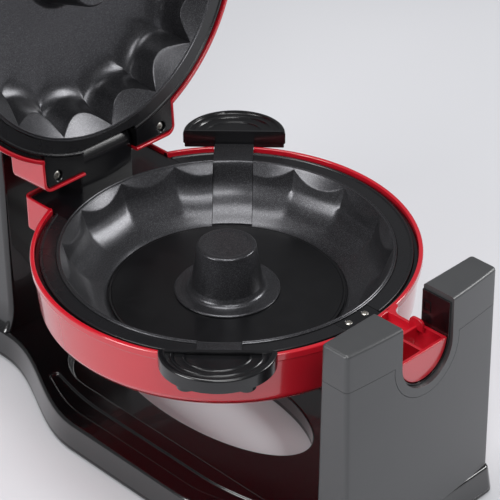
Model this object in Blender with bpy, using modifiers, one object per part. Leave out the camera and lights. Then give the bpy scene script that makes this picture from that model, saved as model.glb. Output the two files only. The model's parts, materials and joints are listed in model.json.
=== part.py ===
"""Electric cake maker: a round two-part baking unit on a trunnion stand, lid tipped open.

Units are metres, +Z up, floor at z = 0. The front of the stand is -Y, the lid hinge is at +Y.
The baking unit turns about a level axis along Y; its pieces are modelled about that axis,
with z = 0 on the parting plane between the lower half and the lid.
"""
import math

import bmesh
import bpy
import numpy as np
from mathutils import Matrix, Vector

# Overall
axis_height = 0.1675          # turning axis above the floor
clearance = 0.0003            # gap between neighbouring solids
overrun = 0.010               # how far a cutter passes the surface it cuts
merge = 0.00001
around = 48                   # facets round the large turned pieces
around_small = 20
around_screw = 12

# Bake unit, common to both halves
lip_radius = 0.1250           # inner edge of the mould
lip_width = 0.0030
flange_width = 0.0122
trim_width = 0.0031
rim_wall = 0.0035
rim_band = 0.0060
shell_wall = 0.0026
parting_gap = 0.0003          # each rim stops this far from the parting plane
flange_radius = lip_radius + lip_width + clearance
flange_outer = flange_radius + flange_width
trim_radius = flange_outer + clearance
trim_outer = trim_radius + trim_width
rim_inner = trim_outer + clearance
rim_radius = rim_inner + rim_wall
wall_step = 0.0015            # side wall stands this far inside the rim band
wall_taper = 0.0034
heel_inset = 0.0087
heel_rise = 0.0055
belly_inset = 0.0340
belly_rise = 0.0022

# Mould form
flutes = 16
flute_steps = 4
floor_radius = 0.0912
petal_inset = 0.0056
petal_depth = 0.0096
pillow = 0.0030
mould_wall = 0.0024
bead_rise = 0.0012
lip_edge_drop = 0.0006
wall_run_shares = (0, 0.035, 0.085, 0.15, 0.29, 0.50, 0.73, 1)
wall_depth_shares = (0, 0.10, 0.26, 0.43, 0.625, 0.80, 0.925, 1)
row_shares = (0.22, 0.50, 0.80)
under_shares = (0.84, 0.40)
pillow_height_shares = (0, 0.20, 0.45, 0.70, 0.90, 1)
pillow_shares = (0.9, 1.0, 0.75, 0.30, 0, 0)

# Lower half
lower_flange_drop = 0.0029    # flange face below the parting plane
lower_mould_depth = 0.0384
heel_depth_share = 0.82

# Lid
lid_flange_drop = 0.0012
lid_mould_depth = 0.0420
lid_cone_rise = 0.0006
open_angle = math.radians(93.0)

# Rings between mould and shell
flange_thick = 0.0020
flange_bead = 0.0009
flange_bead_width = 0.0016
trim_drop = 0.0015
trim_height = 0.0042

# Heater, reflector, thermostat
heater_radius = 0.078
heater_tube = 0.0028
reflector_thick = 0.0008
reflector_radius = 0.097
thermostat_radius = 0.009
thermostat_offset = 0.045
heater_play = 0.0009           # air between element and reflector

# Lifting insert
tab_angle = math.radians(43.5)     # direction of the rear tab, from +X
insert_thick = 0.0018
cone_top_radius = 0.0224
cone_foot_radius = 0.0285
cone_edge = 0.0025
cone_wall = 0.0015
collar_radius = 0.0406
collar_thick = 0.0016
collar_fillet = 0.006
cone_top_drop = 0.00045
strap_width = 0.0318
strap_thick = 0.0016
strap_drop = 0.0017
strap_overlap = 0.006
tab_start = 0.1520
tab_width = 0.0830
tab_depth = 0.0365
tab_top = 0.0103
tab_thick = 0.0117
tab_edge = 0.0020
tab_rib = 0.0008
tab_rib_share = 0.045
tab_rib_shares = (0.80, 0.55)
lug_radius = 0.0070
lug_spread = 0.0205
lug_inset = 0.0135
lug_drop = 0.0030
tab_wall = 0.0030
tab_wall_drop = 0.0035

# Hinge
hinge_offset = 0.0027         # hinge line behind the rim
hinge_rise = 0.0219
barrel_radius = 0.0155
arm_width = 0.0530
pin_radius = 0.0024
pin_inset = 0.0090
lower_lug_width = 0.1260
lower_lug_reach = 0.0165
lower_lug_depth = 0.0300
lower_lug_corner = 0.0060
arm_root = 0.0137
lid_lug_width = 0.1360
lid_lug_reach = 0.0093
lid_lug_depth = 0.0405
lid_lug_corner = 0.0080
lid_lug_chamfer = 0.0030
deck_thick = 0.0025
hinge_screw_edge = 0.0145     # screw in from the housing's side
hinge_screw_inset = 0.0017
hinge_screw_sink = 0.0030
screw_head_radius = 0.0028
screw_head = 0.0016
screw_shank_radius = 0.0014
screw_shank = 0.0070

# Rear spindle
spindle_radius = 0.0105
spindle_bore = 0.0070
spindle_flange = 0.0140
spindle_flange_thick = 0.0030
bush_wall = 0.0045
bush_flange = 0.0200
bush_flange_thick = 0.0024

# Handle
grip_radius = 0.0245
grip_wall = 0.0027
grip_rib = 0.0024
grip_length = 0.0262
neck_radius = 0.0212
neck_wall = 0.0025
neck_length = 0.0233
neck_flare = 0.0250
neck_flare_length = 0.0100
ear_width = 0.0028
ear_length = 0.0130
ear_rise = 0.0065
ear_back_share = 0.35
bridge_width = 0.0340
bridge_thick = 0.0011
bridge_screw_spread = 0.0168
bridge_screw_radius = 0.1337

# Stand
foot_height = 0.0020
cover_thick = 0.0030
base_top = 0.0250
base_deck = 0.0175
base_wall = 0.0030
base_half_width = 0.1152
base_draft = 0.0030           # the sides lean in this far up to the top
base_edge = 0.0035
waist_rear = 0.130
waist_front = 0.115
column_half_width = 0.0630
column_depth = 0.0480
column_gap = 0.0205           # column face behind the spindle flange
column_rise = 0.0330          # column and post tops above the axis
column_edge = 0.0040
column_wall = 0.0035
column_shoulder = 0.0105      # base stands wider than the column
post_half_width = 0.0780
post_depth = 0.0287
post_bow = 0.0050             # the front face swells this much towards its middle
post_setback = 0.0035         # grip end behind the post's front
post_edge = 0.0025
post_draft = math.tan(math.radians(1.0))
post_shoulder = 0.0040
slot_radius = 0.0265
slot_band = 0.0070
seam_rise = 0.0030
liner_top = 0.0040
opening_half_width = 0.0430
opening_half_length = 0.1040
opening_offset = 0.0200
recess_half_width = 0.0700
recess_corner = 0.0520
recess_margin = 0.0120
recess_rear = 0.0460
groove_width = 0.0120
groove_depth = 0.0022
groove_inset = 0.0185
pad_radius = 0.0110
pad_inset = 0.0260
cover_screw_radius = 0.0025
cover_screw_share = 0.62
gland_radius = 0.0070
gland_flange = 0.0100
gland_reach = 0.0050
gland_height = 0.0200

# Sizes that follow
lower_under = (lower_flange_drop - bead_rise + lip_edge_drop + lower_mould_depth + insert_thick
               + clearance * 2 + mould_wall)     # underside of the mould
lid_under = lid_flange_drop - bead_rise + lip_edge_drop + lid_mould_depth + clearance + mould_wall
element_room = clearance * 2 + heater_tube * 2 + heater_play + reflector_thick + shell_wall
lower_bowl_depth = lower_under + element_room
lid_bowl_depth = lid_under + element_room
hinge_y = rim_radius + hinge_offset
lid_lug_back = rim_radius + lid_lug_reach
hinge_screw_spread = lid_lug_width - hinge_screw_edge * 2
lower_lug_back = rim_radius + lower_lug_reach
arm_back = hinge_y + barrel_radius
spindle_front = arm_back + clearance
column_front = spindle_front + spindle_flange_thick + column_gap
column_back = column_front + column_depth
neck_end = rim_radius + neck_length
grip_end = neck_end + grip_length
post_front = grip_end + post_setback
post_back = post_front - post_depth
housing_floor = foot_height + cover_thick + clearance
base_front = post_front + post_shoulder
base_back = column_back + column_shoulder
centre_shift = (base_front - base_back) / 2     # puts the footprint's middle at y = 0

parts = bpy.data.collections.new("cake_maker")
cutters = bpy.data.collections.new("cutters")


def clear_scene():
    for item in list(bpy.data.objects):
        bpy.data.objects.remove(item, do_unlink=True)
    for group in (parts, cutters):
        bpy.context.scene.collection.children.link(group)


def make_material(name, colour, roughness, metallic=0):
    mat = bpy.data.materials.new(name)
    mat.use_nodes = True
    shader = mat.node_tree.nodes["Principled BSDF"]
    shader.inputs["Base Color"].default_value = (*colour, 1)
    shader.inputs["Roughness"].default_value = roughness
    shader.inputs["Metallic"].default_value = metallic
    mat.diffuse_color = (*colour, 1)
    return mat


# Modelling helpers
def new_object(name, mesh, group=cutters):
    item = bpy.data.objects.new(name, mesh)
    group.objects.link(item)
    return item


def settle(item):
    """Replace the object's mesh by its evaluated, welded mesh and drop its modifiers."""
    bpy.context.view_layer.update()
    graph = bpy.context.evaluated_depsgraph_get()
    mesh = bpy.data.meshes.new_from_object(item.evaluated_get(graph))
    work = bmesh.new()
    work.from_mesh(mesh)
    bmesh.ops.remove_doubles(work, verts=work.verts, dist=merge)
    work.to_mesh(mesh)
    work.free()
    if item.type == "MESH":
        item.modifiers.clear()
        item.data = mesh
        return item
    solid = new_object(item.name + "_solid", mesh)
    solid.matrix_world = item.matrix_world.copy()
    bpy.data.objects.remove(item, do_unlink=True)
    return solid


def turned(profile, steps=around, sweep=math.tau):
    """A profile of (radius, z) points at +X, its outer side first and running down."""
    work = bmesh.new()
    verts = [work.verts.new((r, 0, z)) for r, z in profile]
    closed = profile[0][0] > 0 or profile[-1][0] > 0
    for first, second in zip(verts, verts[1:] + verts[:1]):
        if second is not verts[0] or closed:
            work.edges.new((first, second))
    mesh = bpy.data.meshes.new("turned")
    work.to_mesh(mesh)
    work.free()
    item = new_object("turned", mesh)
    screw = item.modifiers.new("Screw", "SCREW")
    screw.angle = sweep
    screw.steps = steps
    screw.render_steps = steps
    screw.use_merge_vertices = True
    screw.merge_threshold = merge
    return settle(item)


def plate(points, low, high, along="Z"):
    """A flat outline between two levels: (x, y) points along Z, (x, z) along Y, (y, z) along X."""
    curve = bpy.data.curves.new("outline", "CURVE")
    curve.dimensions = "2D"
    curve.fill_mode = "BOTH"
    curve.extrude = (high - low) / 2
    line = curve.splines.new("POLY")
    line.points.add(len(points) - 1)
    for spot, (a, b) in zip(line.points, points):
        spot.co = (a, b, 0, 1)
    line.use_cyclic_u = True
    item = settle(new_object("outline", curve))
    mid = (high + low) / 2
    turn = {"Z": Matrix.Identity(4),
            "Y": Matrix(((1, 0, 0, 0), (0, 0, 1, 0), (0, 1, 0, 0), (0, 0, 0, 1))),
            "X": Matrix(((0, 0, 1, 0), (1, 0, 0, 0), (0, 1, 0, 0), (0, 0, 0, 1)))}[along]
    item.data.transform(turn @ Matrix.Translation((0, 0, mid)))
    if along == "Y":
        item.data.flip_normals()
    return outward(item)


def outward(item):
    work = bmesh.new()
    work.from_mesh(item.data)
    bmesh.ops.recalc_face_normals(work, faces=work.faces)
    work.to_mesh(item.data)
    work.free()
    return item


def box(x0, x1, y0, y1, z0, z1):
    bpy.ops.mesh.primitive_cube_add(size=1)
    item = bpy.context.object
    item.data.transform(Matrix.Translation(((x0 + x1) / 2, (y0 + y1) / 2, (z0 + z1) / 2))
                        @ Matrix.Diagonal((x1 - x0, y1 - y0, z1 - z0, 1)))
    return item


def rod(radius, low, high, along="Z", at=(0, 0), sides=around_small):
    """A cylinder between two levels along an axis, at the two other coordinates in order."""
    bpy.ops.mesh.primitive_cylinder_add(radius=1, depth=1, vertices=sides)
    item = bpy.context.object
    item.data.transform(Matrix.Diagonal((radius, radius, high - low, 1)))
    item.data.transform(Matrix.Translation((0, 0, (high + low) / 2)))
    if along == "Y":
        item.data.transform(Matrix.Rotation(-math.pi / 2, 4, "X"))
        item.data.transform(Matrix.Translation((at[0], 0, at[1])))
    elif along == "X":
        item.data.transform(Matrix.Rotation(math.pi / 2, 4, "Y"))
        item.data.transform(Matrix.Translation((0, at[0], at[1])))
    else:
        item.data.transform(Matrix.Translation((at[0], at[1], 0)))
    return item


def combine(item, other, operation):
    other.hide_render = True
    other.display_type = "WIRE"
    step = item.modifiers.new(operation.title(), "BOOLEAN")
    step.operation = operation
    step.solver = "EXACT"
    step.object = other
    settle(item)
    bpy.data.objects.remove(other, do_unlink=True)
    return item


def cut(item, *others):
    for other in others:
        combine(item, other, "DIFFERENCE")
    return item


def join(item, *others):
    for other in others:
        combine(item, other, "UNION")
    return item


def keep(item, other):
    return combine(item, other, "INTERSECT")


def rounded(item, width, segments=2, angle=math.radians(40)):
    step = item.modifiers.new("Bevel", "BEVEL")
    step.width = width
    step.segments = segments
    step.limit_method = "ANGLE"
    step.angle_limit = angle
    return settle(item)


def rounded_rectangle(half_x, y0, y1, corner, steps=5):
    points = []
    for cx, cy, start in ((half_x - corner, y1 - corner, 0), (corner - half_x, y1 - corner, 1),
                          (corner - half_x, y0 + corner, 2), (half_x - corner, y0 + corner, 3)):
        for i in range(steps + 1):
            turn = math.radians(90) * (start + i / steps)
            points.append((cx + corner * math.cos(turn), cy + corner * math.sin(turn)))
    return points


def chamfered(half_x, y0, y1, corner):
    """An outline square at y0 and with its corners cut at y1."""
    return [(-half_x, y0), (half_x, y0), (half_x, y1 - corner), (half_x - corner, y1),
            (corner - half_x, y1), (-half_x, y1 - corner)]


def finish(item, name, mat, parent):
    """Name the solid, give it its material and hang it on its pivot, in that pivot's frame."""
    item.name = name
    item.data.name = name
    item.data.materials.clear()
    item.data.materials.append(mat)
    for face in item.data.polygons:
        face.material_index = 0
    item.data.shade_smooth()
    item.data.set_sharp_from_angle(angle=math.radians(35))
    item.hide_render = False
    item.display_type = "TEXTURED"
    for group in list(item.users_collection):
        group.objects.unlink(item)
    parts.objects.link(item)
    item.data.transform(Matrix.Translation(-Vector(parent["model_origin"])))
    item.parent = parent
    return item


def pivot(name, place, origin, parent=None, turn=0):
    item = bpy.data.objects.new(name, None)
    item.location = place
    item.rotation_euler = (turn, 0, 0)
    item["model_origin"] = origin
    item.parent = parent
    parts.objects.link(item)
    return item


def at_tab(item, side):
    """Turn a piece modelled along +X to the rear (side 1) or front (side -1) tab direction."""
    item.data.transform(Matrix.Rotation(tab_angle + (0 if side > 0 else math.pi), 4, "Z"))
    return item


# Forms shared by both halves
def revolve(rings, side):
    """Turn (radius, depth) points, listed from the parting plane away, on one side of it."""
    points = [(0, side * rings[0][1])] + [(r, side * d) for r, d in rings]
    points.append((0, side * rings[-1][1]))
    if side > 0:
        points.reverse()
    return turned(points)


def bowl(depth, side):
    """Outer form of a shell: rim band, tapered wall, heel, shallow belly."""
    heel = depth * heel_depth_share
    wall = rim_radius - wall_step
    return revolve([(rim_radius, parting_gap), (rim_radius, rim_band),
                    (wall, rim_band + wall_step / 2), (wall - wall_taper, heel - heel_rise),
                    (rim_radius - heel_inset, heel), (rim_radius - belly_inset, depth)], side)


def bowl_hollow(depth, side, seat):
    """Inside of a shell: straight down to the trim ring's foot, then along the wall."""
    heel = depth * heel_depth_share - shell_wall / 2
    wall = rim_radius - wall_step - wall_taper - shell_wall
    return revolve([(rim_inner, -overrun), (rim_inner, seat), (wall, heel - heel_rise),
                    (rim_radius - heel_inset - shell_wall, heel),
                    (rim_radius - belly_inset - shell_wall, depth - shell_wall)], side)


def wall_point(share, depth):
    """The creased wall between two pillows: its radius and how far it is below the lip."""
    run = lip_radius - floor_radius
    radius = lip_radius - run * float(np.interp(share, wall_depth_shares, wall_run_shares))
    return radius, depth * share


def wall_offset(share, depth, offset):
    """A point of the creased wall moved outward, square to the wall."""
    step = row_shares[0] / 2
    r0, d0 = wall_point(max(share - step, 0), depth)
    r1, d1 = wall_point(min(share + step, 1), depth)
    length = math.hypot(r1 - r0, d1 - d0)
    radius, down = wall_point(share, depth)
    return radius + (d1 - d0) / length * offset, down - (r1 - r0) / length * offset


def mould_column(angle, depth, drop, channel):
    """One column of the mould's inner face, from its flange edge to the floor edge."""
    outer = lip_radius + lip_width
    sink = drop - bead_rise
    if channel:
        reach = strap_thick + clearance
        low = strap_drop + reach
        column = [(outer, low), (lip_radius + reach, low)]
        first = wall_offset(0, depth, reach)
        column.append((first[0], low + lip_edge_drop))
        column.append((first[0], low + lip_edge_drop * 3))
        for share in row_shares:
            radius, down = wall_offset(share, depth, reach)
            column.append((radius, sink + lip_edge_drop + down))
        radius, down = wall_offset(1, depth, reach)
        column.append((floor_radius + reach, sink + lip_edge_drop + depth))
        return column
    turn = angle / (math.tau / flutes)
    phase = 2 * (turn - math.floor(turn)) - 1
    swell = 1 - phase * phase
    column = [(outer, drop), (lip_radius + lip_width / 2, sink), (lip_radius, sink + lip_edge_drop)]
    inset = petal_inset * swell + merge * 20
    start = petal_depth * swell + merge * 30
    column.append((lip_radius - inset, sink + lip_edge_drop + start))
    for share in row_shares:
        down = start + (depth - start) * share
        radius = wall_point(down / depth, depth)[0]
        height = float(np.interp(down / depth, pillow_height_shares, pillow_shares))
        column.append((radius - pillow * swell * height, sink + lip_edge_drop + down))
    column.append((floor_radius, sink + lip_edge_drop + depth))
    return column


def mould_columns(depth, drop, straps):
    """All columns round the mould; the strap channels keep their width from lip to floor."""
    columns = []
    half = strap_width / 2 + clearance
    slack = clearance * 2
    count = flutes * flute_steps
    axes = (tab_angle, tab_angle + math.pi) if straps else ()
    stations = []
    for i in range(count):
        angle = math.tau * i / count
        near = min((abs((angle - axis + math.pi) % math.tau - math.pi) for axis in axes),
                   default=math.pi)
        if near > math.asin((half + slack) / floor_radius) + math.radians(1.5):
            stations.append((angle, 0, False))
    for axis in axes:
        for offset, channel in ((-half - slack, False), (-half, True), (-half / 2, True), (0, True),
                                (half / 2, True), (half, True), (half + slack, False)):
            stations.append((axis + 1e-6, offset, channel))
    for axis, offset, channel in stations:
        base = axis + math.asin(offset / lip_radius)
        profile = mould_column(base, depth, drop, channel)
        column = []
        for radius, down in profile:
            turn = axis + (math.asin(offset / radius) if offset else 0)
            column.append((radius, turn, down))
        columns.append((base % math.tau, column))
    columns.sort(key=lambda entry: entry[0])
    return [column for base, column in columns]


def fluted_mould(depth, drop, side, straps, cone=None):
    """Loft the fluted wall between its columns, then close floor, centre and underside."""
    work = bmesh.new()
    sink = drop - bead_rise + lip_edge_drop
    floor = sink + depth + insert_thick + clearance * 2 if straps else sink + depth + clearance
    thick = mould_wall + strap_thick + clearance
    inner = [(floor_radius - clearance, floor)] if straps else [(floor_radius - mould_wall, floor)]
    if cone:
        inner += [(cone[0] + mould_wall, floor), (cone[1], cone[2] + cone_edge),
                  (cone[1] - cone_edge, cone[2])]
    under = []
    if cone:
        under += [(cone[1] - cone_edge, cone[2] + mould_wall),
                  (cone[0], floor + mould_wall)]
    under += [(floor_radius, floor + mould_wall)]
    for share in under_shares:
        radius, down = wall_offset(share, depth, thick)
        under.append((min(radius, lip_radius + lip_width), sink + down))
    under.append((lip_radius + lip_width, drop + mould_wall))
    rings = []
    columns = mould_columns(depth, drop, straps)
    for radius, turn, down in [(c[j][0], c[j][1], c[j][2]) for j in range(len(columns[0]))
                               for c in columns]:
        rings.append((radius * math.cos(turn), radius * math.sin(turn), side * down))
    count = len(columns)
    rows = [rings[k:k + count] for k in range(0, len(rings), count)]
    foot = [column[-1][1] for column in columns]
    head = [column[0][1] for column in columns]
    for radius, down in inner:
        rows.append([(radius * math.cos(a), radius * math.sin(a), side * down) for a in foot])
    hub = work.verts.new((0, 0, side * (cone[2] if cone else floor)))
    verts = [[work.verts.new(p) for p in row] for row in rows]
    lower = []
    for j, (radius, down) in enumerate(under):
        blend = j / (len(under) - 1)
        lower.append([work.verts.new((radius * math.cos(a + (b - a) * blend),
                                      radius * math.sin(a + (b - a) * blend), side * down))
                      for a, b in zip(foot, head)])
    base = work.verts.new((0, 0, side * ((cone[2] if cone else floor) + mould_wall)))
    for ring_a, ring_b in zip(verts + lower, (verts + lower)[1:]):
        if ring_a is verts[-1]:
            continue
        for k in range(count):
            work.faces.new((ring_a[k], ring_b[k], ring_b[(k + 1) % count], ring_a[(k + 1) % count]))
    for k in range(count):
        work.faces.new((verts[-1][k], hub, verts[-1][(k + 1) % count]))
        work.faces.new((lower[0][k], lower[0][(k + 1) % count], base))
        work.faces.new((lower[-1][k], verts[0][k], verts[0][(k + 1) % count],
                        lower[-1][(k + 1) % count]))
    mesh = bpy.data.meshes.new("mould")
    work.to_mesh(mesh)
    work.free()
    return outward(new_object("mould", mesh))


def strap_notch(side):
    """The slot through lip, flange and rim that one strap lies in."""
    half = strap_width / 2 + clearance
    return at_tab(box(lip_radius - overrun / 2, rim_radius + overrun, -half, half,
                      -strap_drop - strap_thick - clearance, overrun), side)


def flange_ring(drop, side):
    top = drop - flange_bead
    inner = flange_outer - flange_bead_width
    profile = [(flange_outer, top), (flange_outer, drop + flange_thick),
               (flange_radius, drop + flange_thick), (flange_radius, drop), (inner, drop)]
    points = [(r, side * d) for r, d in profile]
    if side > 0:
        points.reverse()
    return turned(points)


def trim_ring(drop, side):
    top = drop + trim_drop
    profile = [(trim_outer, top), (trim_outer, top + trim_height),
               (trim_radius, top + trim_height), (trim_radius, top)]
    points = [(r, side * d) for r, d in profile]
    if side > 0:
        points.reverse()
    return turned(points)


def trim_seat(drop):
    return drop + trim_drop + trim_height + clearance


def heater(side, under):
    bpy.ops.mesh.primitive_torus_add(major_radius=heater_radius, minor_radius=heater_tube,
                                     major_segments=24, minor_segments=6)
    item = bpy.context.object
    item.data.transform(Matrix.Translation((0, 0, side * (under + clearance + heater_tube))))
    return item


def reflector(side, depth):
    low = depth - shell_wall - clearance
    return rod(reflector_radius, min(side * low, side * (low - reflector_thick)),
               max(side * low, side * (low - reflector_thick)), sides=around // 2)


# Lower half
def half_disc(radius, side, gap, steps=12):
    """The half of a disc on one side of the parting plane, as (x, z) points."""
    points = [(radius * math.cos(math.pi * i / steps), side * radius * math.sin(math.pi * i / steps))
              for i in range(steps + 1)]
    return [(x, side * max(abs(z), gap)) for x, z in points]


def handle_half(side):
    """Neck and grip of one half: a half round that runs out from the rim to the post."""
    root = -(rim_radius - rim_wall)
    grip = plate(half_disc(grip_radius, side, parting_gap), -grip_end, -neck_end, "Y")
    neck = plate(half_disc(neck_radius, side, parting_gap), -neck_end - grip_wall / 2, root, "Y")
    flare = []
    for i in range(7):
        turn = math.radians(90) * i / 6
        flare.append((neck_radius - clearance + neck_flare / 2 * (1 - math.sin(turn)),
                      -rim_radius - neck_flare_length * math.cos(turn) + neck_flare_length / 4))
    ys = [(x, y) for x, y in reversed(flare)]
    outline = [(neck_radius + neck_flare / 2, root + rim_wall)] + ys
    outline += [(-x, y) for x, y in reversed(outline)]
    low, high = sorted((side * parting_gap, side * (rim_band + wall_step)))
    skirt = plate(outline, low, high)
    return join(grip, neck, skirt)


def handle_pockets(side):
    """Open cavities of neck and grip, with a rib left along the middle of the grip."""
    hollow = grip_radius - grip_wall
    low, high = sorted((0, side * grip_radius))
    rib = grip_rib / 2
    inner = plate(half_disc(hollow, side, 0), -grip_end + grip_wall, -neck_end - grip_wall, "Y")
    inner = cut(inner, box(-rib, rib, -grip_end, -neck_end, low - overrun, high + overrun))
    throat = neck_radius - neck_wall
    channel = plate(half_disc(throat, side, 0), -neck_end + neck_wall / 2,
                    -rim_radius - neck_wall / 2, "Y")
    return inner, channel


def ear_outline(grow=0):
    """A rounded catch on the handle, as (y, z) points, standing above the parting plane."""
    back = -neck_end + ear_length * ear_back_share + grow
    front = back - ear_length - grow * 2
    top = ear_rise + grow
    radius = top * 0.8
    points = [(front, -neck_wall), (front, top - radius)]
    for i in range(1, 6):
        turn = math.radians(90) * i / 5
        points.append((front + radius * (1 - math.cos(turn)), top - radius * (1 - math.sin(turn))))
    for i in range(1, 6):
        turn = math.radians(90) * i / 5
        points.append((back - radius * (1 - math.sin(turn)), top - radius * (1 - math.cos(turn))))
    points.append((back, -neck_wall))
    return points


def ear(side, grow=0):
    inner = neck_radius - ear_width - grow
    outer = neck_radius - clearance + grow * 2
    low, high = sorted((side * inner, side * outer))
    return plate(ear_outline(grow), low, high, "X")


def lower_shell(mat, parent):
    """Red bowl of the lower half, with the hinge lug behind and the open handle in front."""
    item = bowl(lower_bowl_depth, -1)
    half = lower_lug_width / 2
    lug = plate(chamfered(half, lip_radius, lower_lug_back, lower_lug_corner),
                -lower_lug_depth, -parting_gap)
    item = join(item, lug, handle_half(-1))
    hollow = bowl_hollow(lower_bowl_depth, -1, trim_seat(lower_flange_drop))
    lug_hollow = plate(chamfered(half - shell_wall, lip_radius - overrun,
                                 lower_lug_back - shell_wall, lower_lug_corner),
                       -lower_lug_depth + shell_wall, overrun)
    item = cut(item, hollow, lug_hollow, *handle_pockets(-1))
    arm = arm_width / 2 + clearance
    item = cut(item, box(-arm, arm, hinge_y, lower_lug_back + overrun,
                         -arm_root - deck_thick - clearance, overrun))
    item = join(item, ear(1), ear(-1))
    item = cut(item, strap_notch(1), strap_notch(-1))
    return finish(item, "lower_shell", mat, parent)


def hinge_arm(mat, parent):
    """Black bracket in the lug: a deck behind the lip and the arm that carries the hinge barrel."""
    half = lower_lug_width / 2 - shell_wall - clearance
    deck_top = -lower_flange_drop
    deck = plate(chamfered(half, lip_radius - overrun, lower_lug_back - shell_wall - clearance,
                           lower_lug_corner), deck_top - deck_thick, deck_top)
    deck = cut(deck, rod(flange_radius, deck_top - overrun, overrun, sides=around))
    front = hinge_y - barrel_radius
    points = [(front, deck_top - deck_thick)]
    for i in range(11):
        turn = math.pi * (1 - i / 10)
        points.append((hinge_y + barrel_radius * math.cos(turn),
                       hinge_rise + barrel_radius * math.sin(turn)))
    points += [(arm_back, -arm_root - deck_thick), (hinge_y, -arm_root - deck_thick),
               (hinge_y, deck_top - deck_thick)]
    arm = plate(points, -arm_width / 2, arm_width / 2, "X")
    item = join(deck, arm)
    item = cut(item, rod(pin_radius + clearance, -arm_width, arm_width, "X", (hinge_y, hinge_rise)))
    return finish(item, "lower_hinge_arm", mat, parent)


def back_gap(item, half, drop):
    """Open a ring behind, between two lines that run along Y."""
    return cut(item, box(-half, half, lip_radius / 2, rim_radius + overrun, -drop, drop))


def bridge_spots():
    spread = bridge_screw_spread / 2
    place = -math.sqrt(bridge_screw_radius ** 2 - spread ** 2)
    return [(-spread, place), (spread, place)]


def bridge_seat(item):
    """Sink the flange under the bridge plate and drill it for the two screws."""
    half = bridge_width / 2 + clearance
    low = -lower_flange_drop - bridge_thick - clearance
    item = cut(item, box(-half, half, -rim_radius, -lip_radius / 2, low, overrun))
    for spot in bridge_spots():
        item = cut(item, rod(screw_shank_radius + clearance, -overrun, overrun, at=spot,
                             sides=around_screw))
    return item


def lower_rings(flange_mat, trim_mat, parent):
    ring = flange_ring(lower_flange_drop, -1)
    half = lower_lug_width / 2 - shell_wall
    ring = bridge_seat(back_gap(ring, half, lower_bowl_depth))
    ring = cut(ring, strap_notch(1), strap_notch(-1))
    finish(ring, "lower_flange_ring", flange_mat, parent)
    trim = back_gap(trim_ring(lower_flange_drop, -1), half, lower_bowl_depth)
    finish(trim, "lower_trim_ring", trim_mat, parent)


def bridge(mat, screw_mat, parent):
    """Black plate that closes the flange at the handle, with its two screws."""
    top = -lower_flange_drop
    ring = turned([(trim_outer, top), (trim_outer, top - bridge_thick),
                   (flange_radius, top - bridge_thick), (flange_radius, top)])
    half = bridge_width / 2
    item = keep(ring, box(-half, half, -rim_radius, -lip_radius / 2, -overrun, overrun))
    for spot, name in zip(bridge_spots(), ("left", "right")):
        item = cut(item, rod(screw_shank_radius + clearance, -overrun, overrun, at=spot,
                             sides=around_screw))
        head = rod(screw_head_radius, top + clearance, top + clearance + screw_head / 2, at=spot,
                   sides=around_screw)
        shank = rod(screw_shank_radius, top - screw_shank, top + screw_head / 2, at=spot,
                    sides=around_screw)
        finish(join(head, shank), "handle_bridge_screw_" + name, screw_mat, parent)
    finish(item, "handle_bridge_plate", mat, parent)


def lower_inside(mats, parent):
    mould = fluted_mould(lower_mould_depth, lower_flange_drop, -1, True)
    finish(mould, "lower_mould", mats["coating"], parent)
    finish(heater(-1, lower_under), "lower_heater_element", mats["steel"], parent)
    finish(reflector(-1, lower_bowl_depth), "lower_heat_reflector", mats["tin"], parent)
    low = lower_bowl_depth - shell_wall - reflector_thick - clearance * 2
    disc = rod(thermostat_radius, -low, -lower_under - clearance, at=(0, thermostat_offset))
    finish(disc, "lower_thermostat", mats["tin"], parent)


# Lifting insert
def insert_floor():
    return lower_flange_drop - bead_rise + lip_edge_drop + lower_mould_depth


def lifter(mats, parent):
    """Removable insert: floor disc, hollow centre cone, two wall straps and two tabs."""
    top = -insert_floor()
    edge = clearance * 2
    disc = turned([(0, top), (floor_radius - edge, top), (floor_radius - edge, top - insert_thick),
                   (0, top - insert_thick)])
    finish(disc, "lifter_disc", mats["coating_dark"], parent)
    foot = top + clearance
    peak = -cone_top_drop
    profile = [(0, peak), (cone_top_radius - cone_edge, peak),
               (cone_top_radius - cone_edge / 3, peak - cone_edge / 3),
               (cone_top_radius, peak - cone_edge),
               (cone_foot_radius, foot + collar_thick + collar_fillet),
               (cone_foot_radius + collar_fillet / 3, foot + collar_thick + collar_fillet / 3),
               (cone_foot_radius + collar_fillet, foot + collar_thick),
               (collar_radius, foot + collar_thick), (collar_radius, foot),
               (cone_foot_radius - cone_wall, foot),
               (cone_top_radius - cone_wall, peak - cone_edge), (0, peak - cone_wall * 2)]
    finish(turned(profile, around // 2), "lifter_cone", mats["coating"], parent)
    for side, place in ((1, "rear"), (-1, "front")):
        finish(strap(side), "lifter_strap_" + place, mats["coating"], parent)
        finish(tab(side), "lifter_tab_" + place, mats["satin_black"], parent)


def strap(side):
    """A band that follows the mould wall up from the disc and lies over the rim."""
    sink = lower_flange_drop - bead_rise + lip_edge_drop
    end = tab_start + strap_overlap
    low = -strap_drop - strap_thick
    radius = wall_point(0, lower_mould_depth)[0]
    back = [(end, -strap_drop), (end, low), (radius + strap_thick, low)]
    face = []
    for share in row_shares:
        r, down = wall_offset(share, lower_mould_depth, strap_thick)
        back.append((r, -sink - down))
        r, down = wall_point(share, lower_mould_depth)
        face.append((r, -sink - down))
    back += [(floor_radius + strap_thick, -insert_floor()),
             (floor_radius, -insert_floor() - strap_thick)]
    face = [(radius + lip_edge_drop, -strap_drop), (radius, -strap_drop - lip_edge_drop)] + face
    face.append((floor_radius, -insert_floor()))
    ring = turned(back + face[::-1])
    half = strap_width / 2
    return at_tab(keep(ring, box(0, end + overrun, -half, half, -lower_bowl_depth, overrun)), side)


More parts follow.
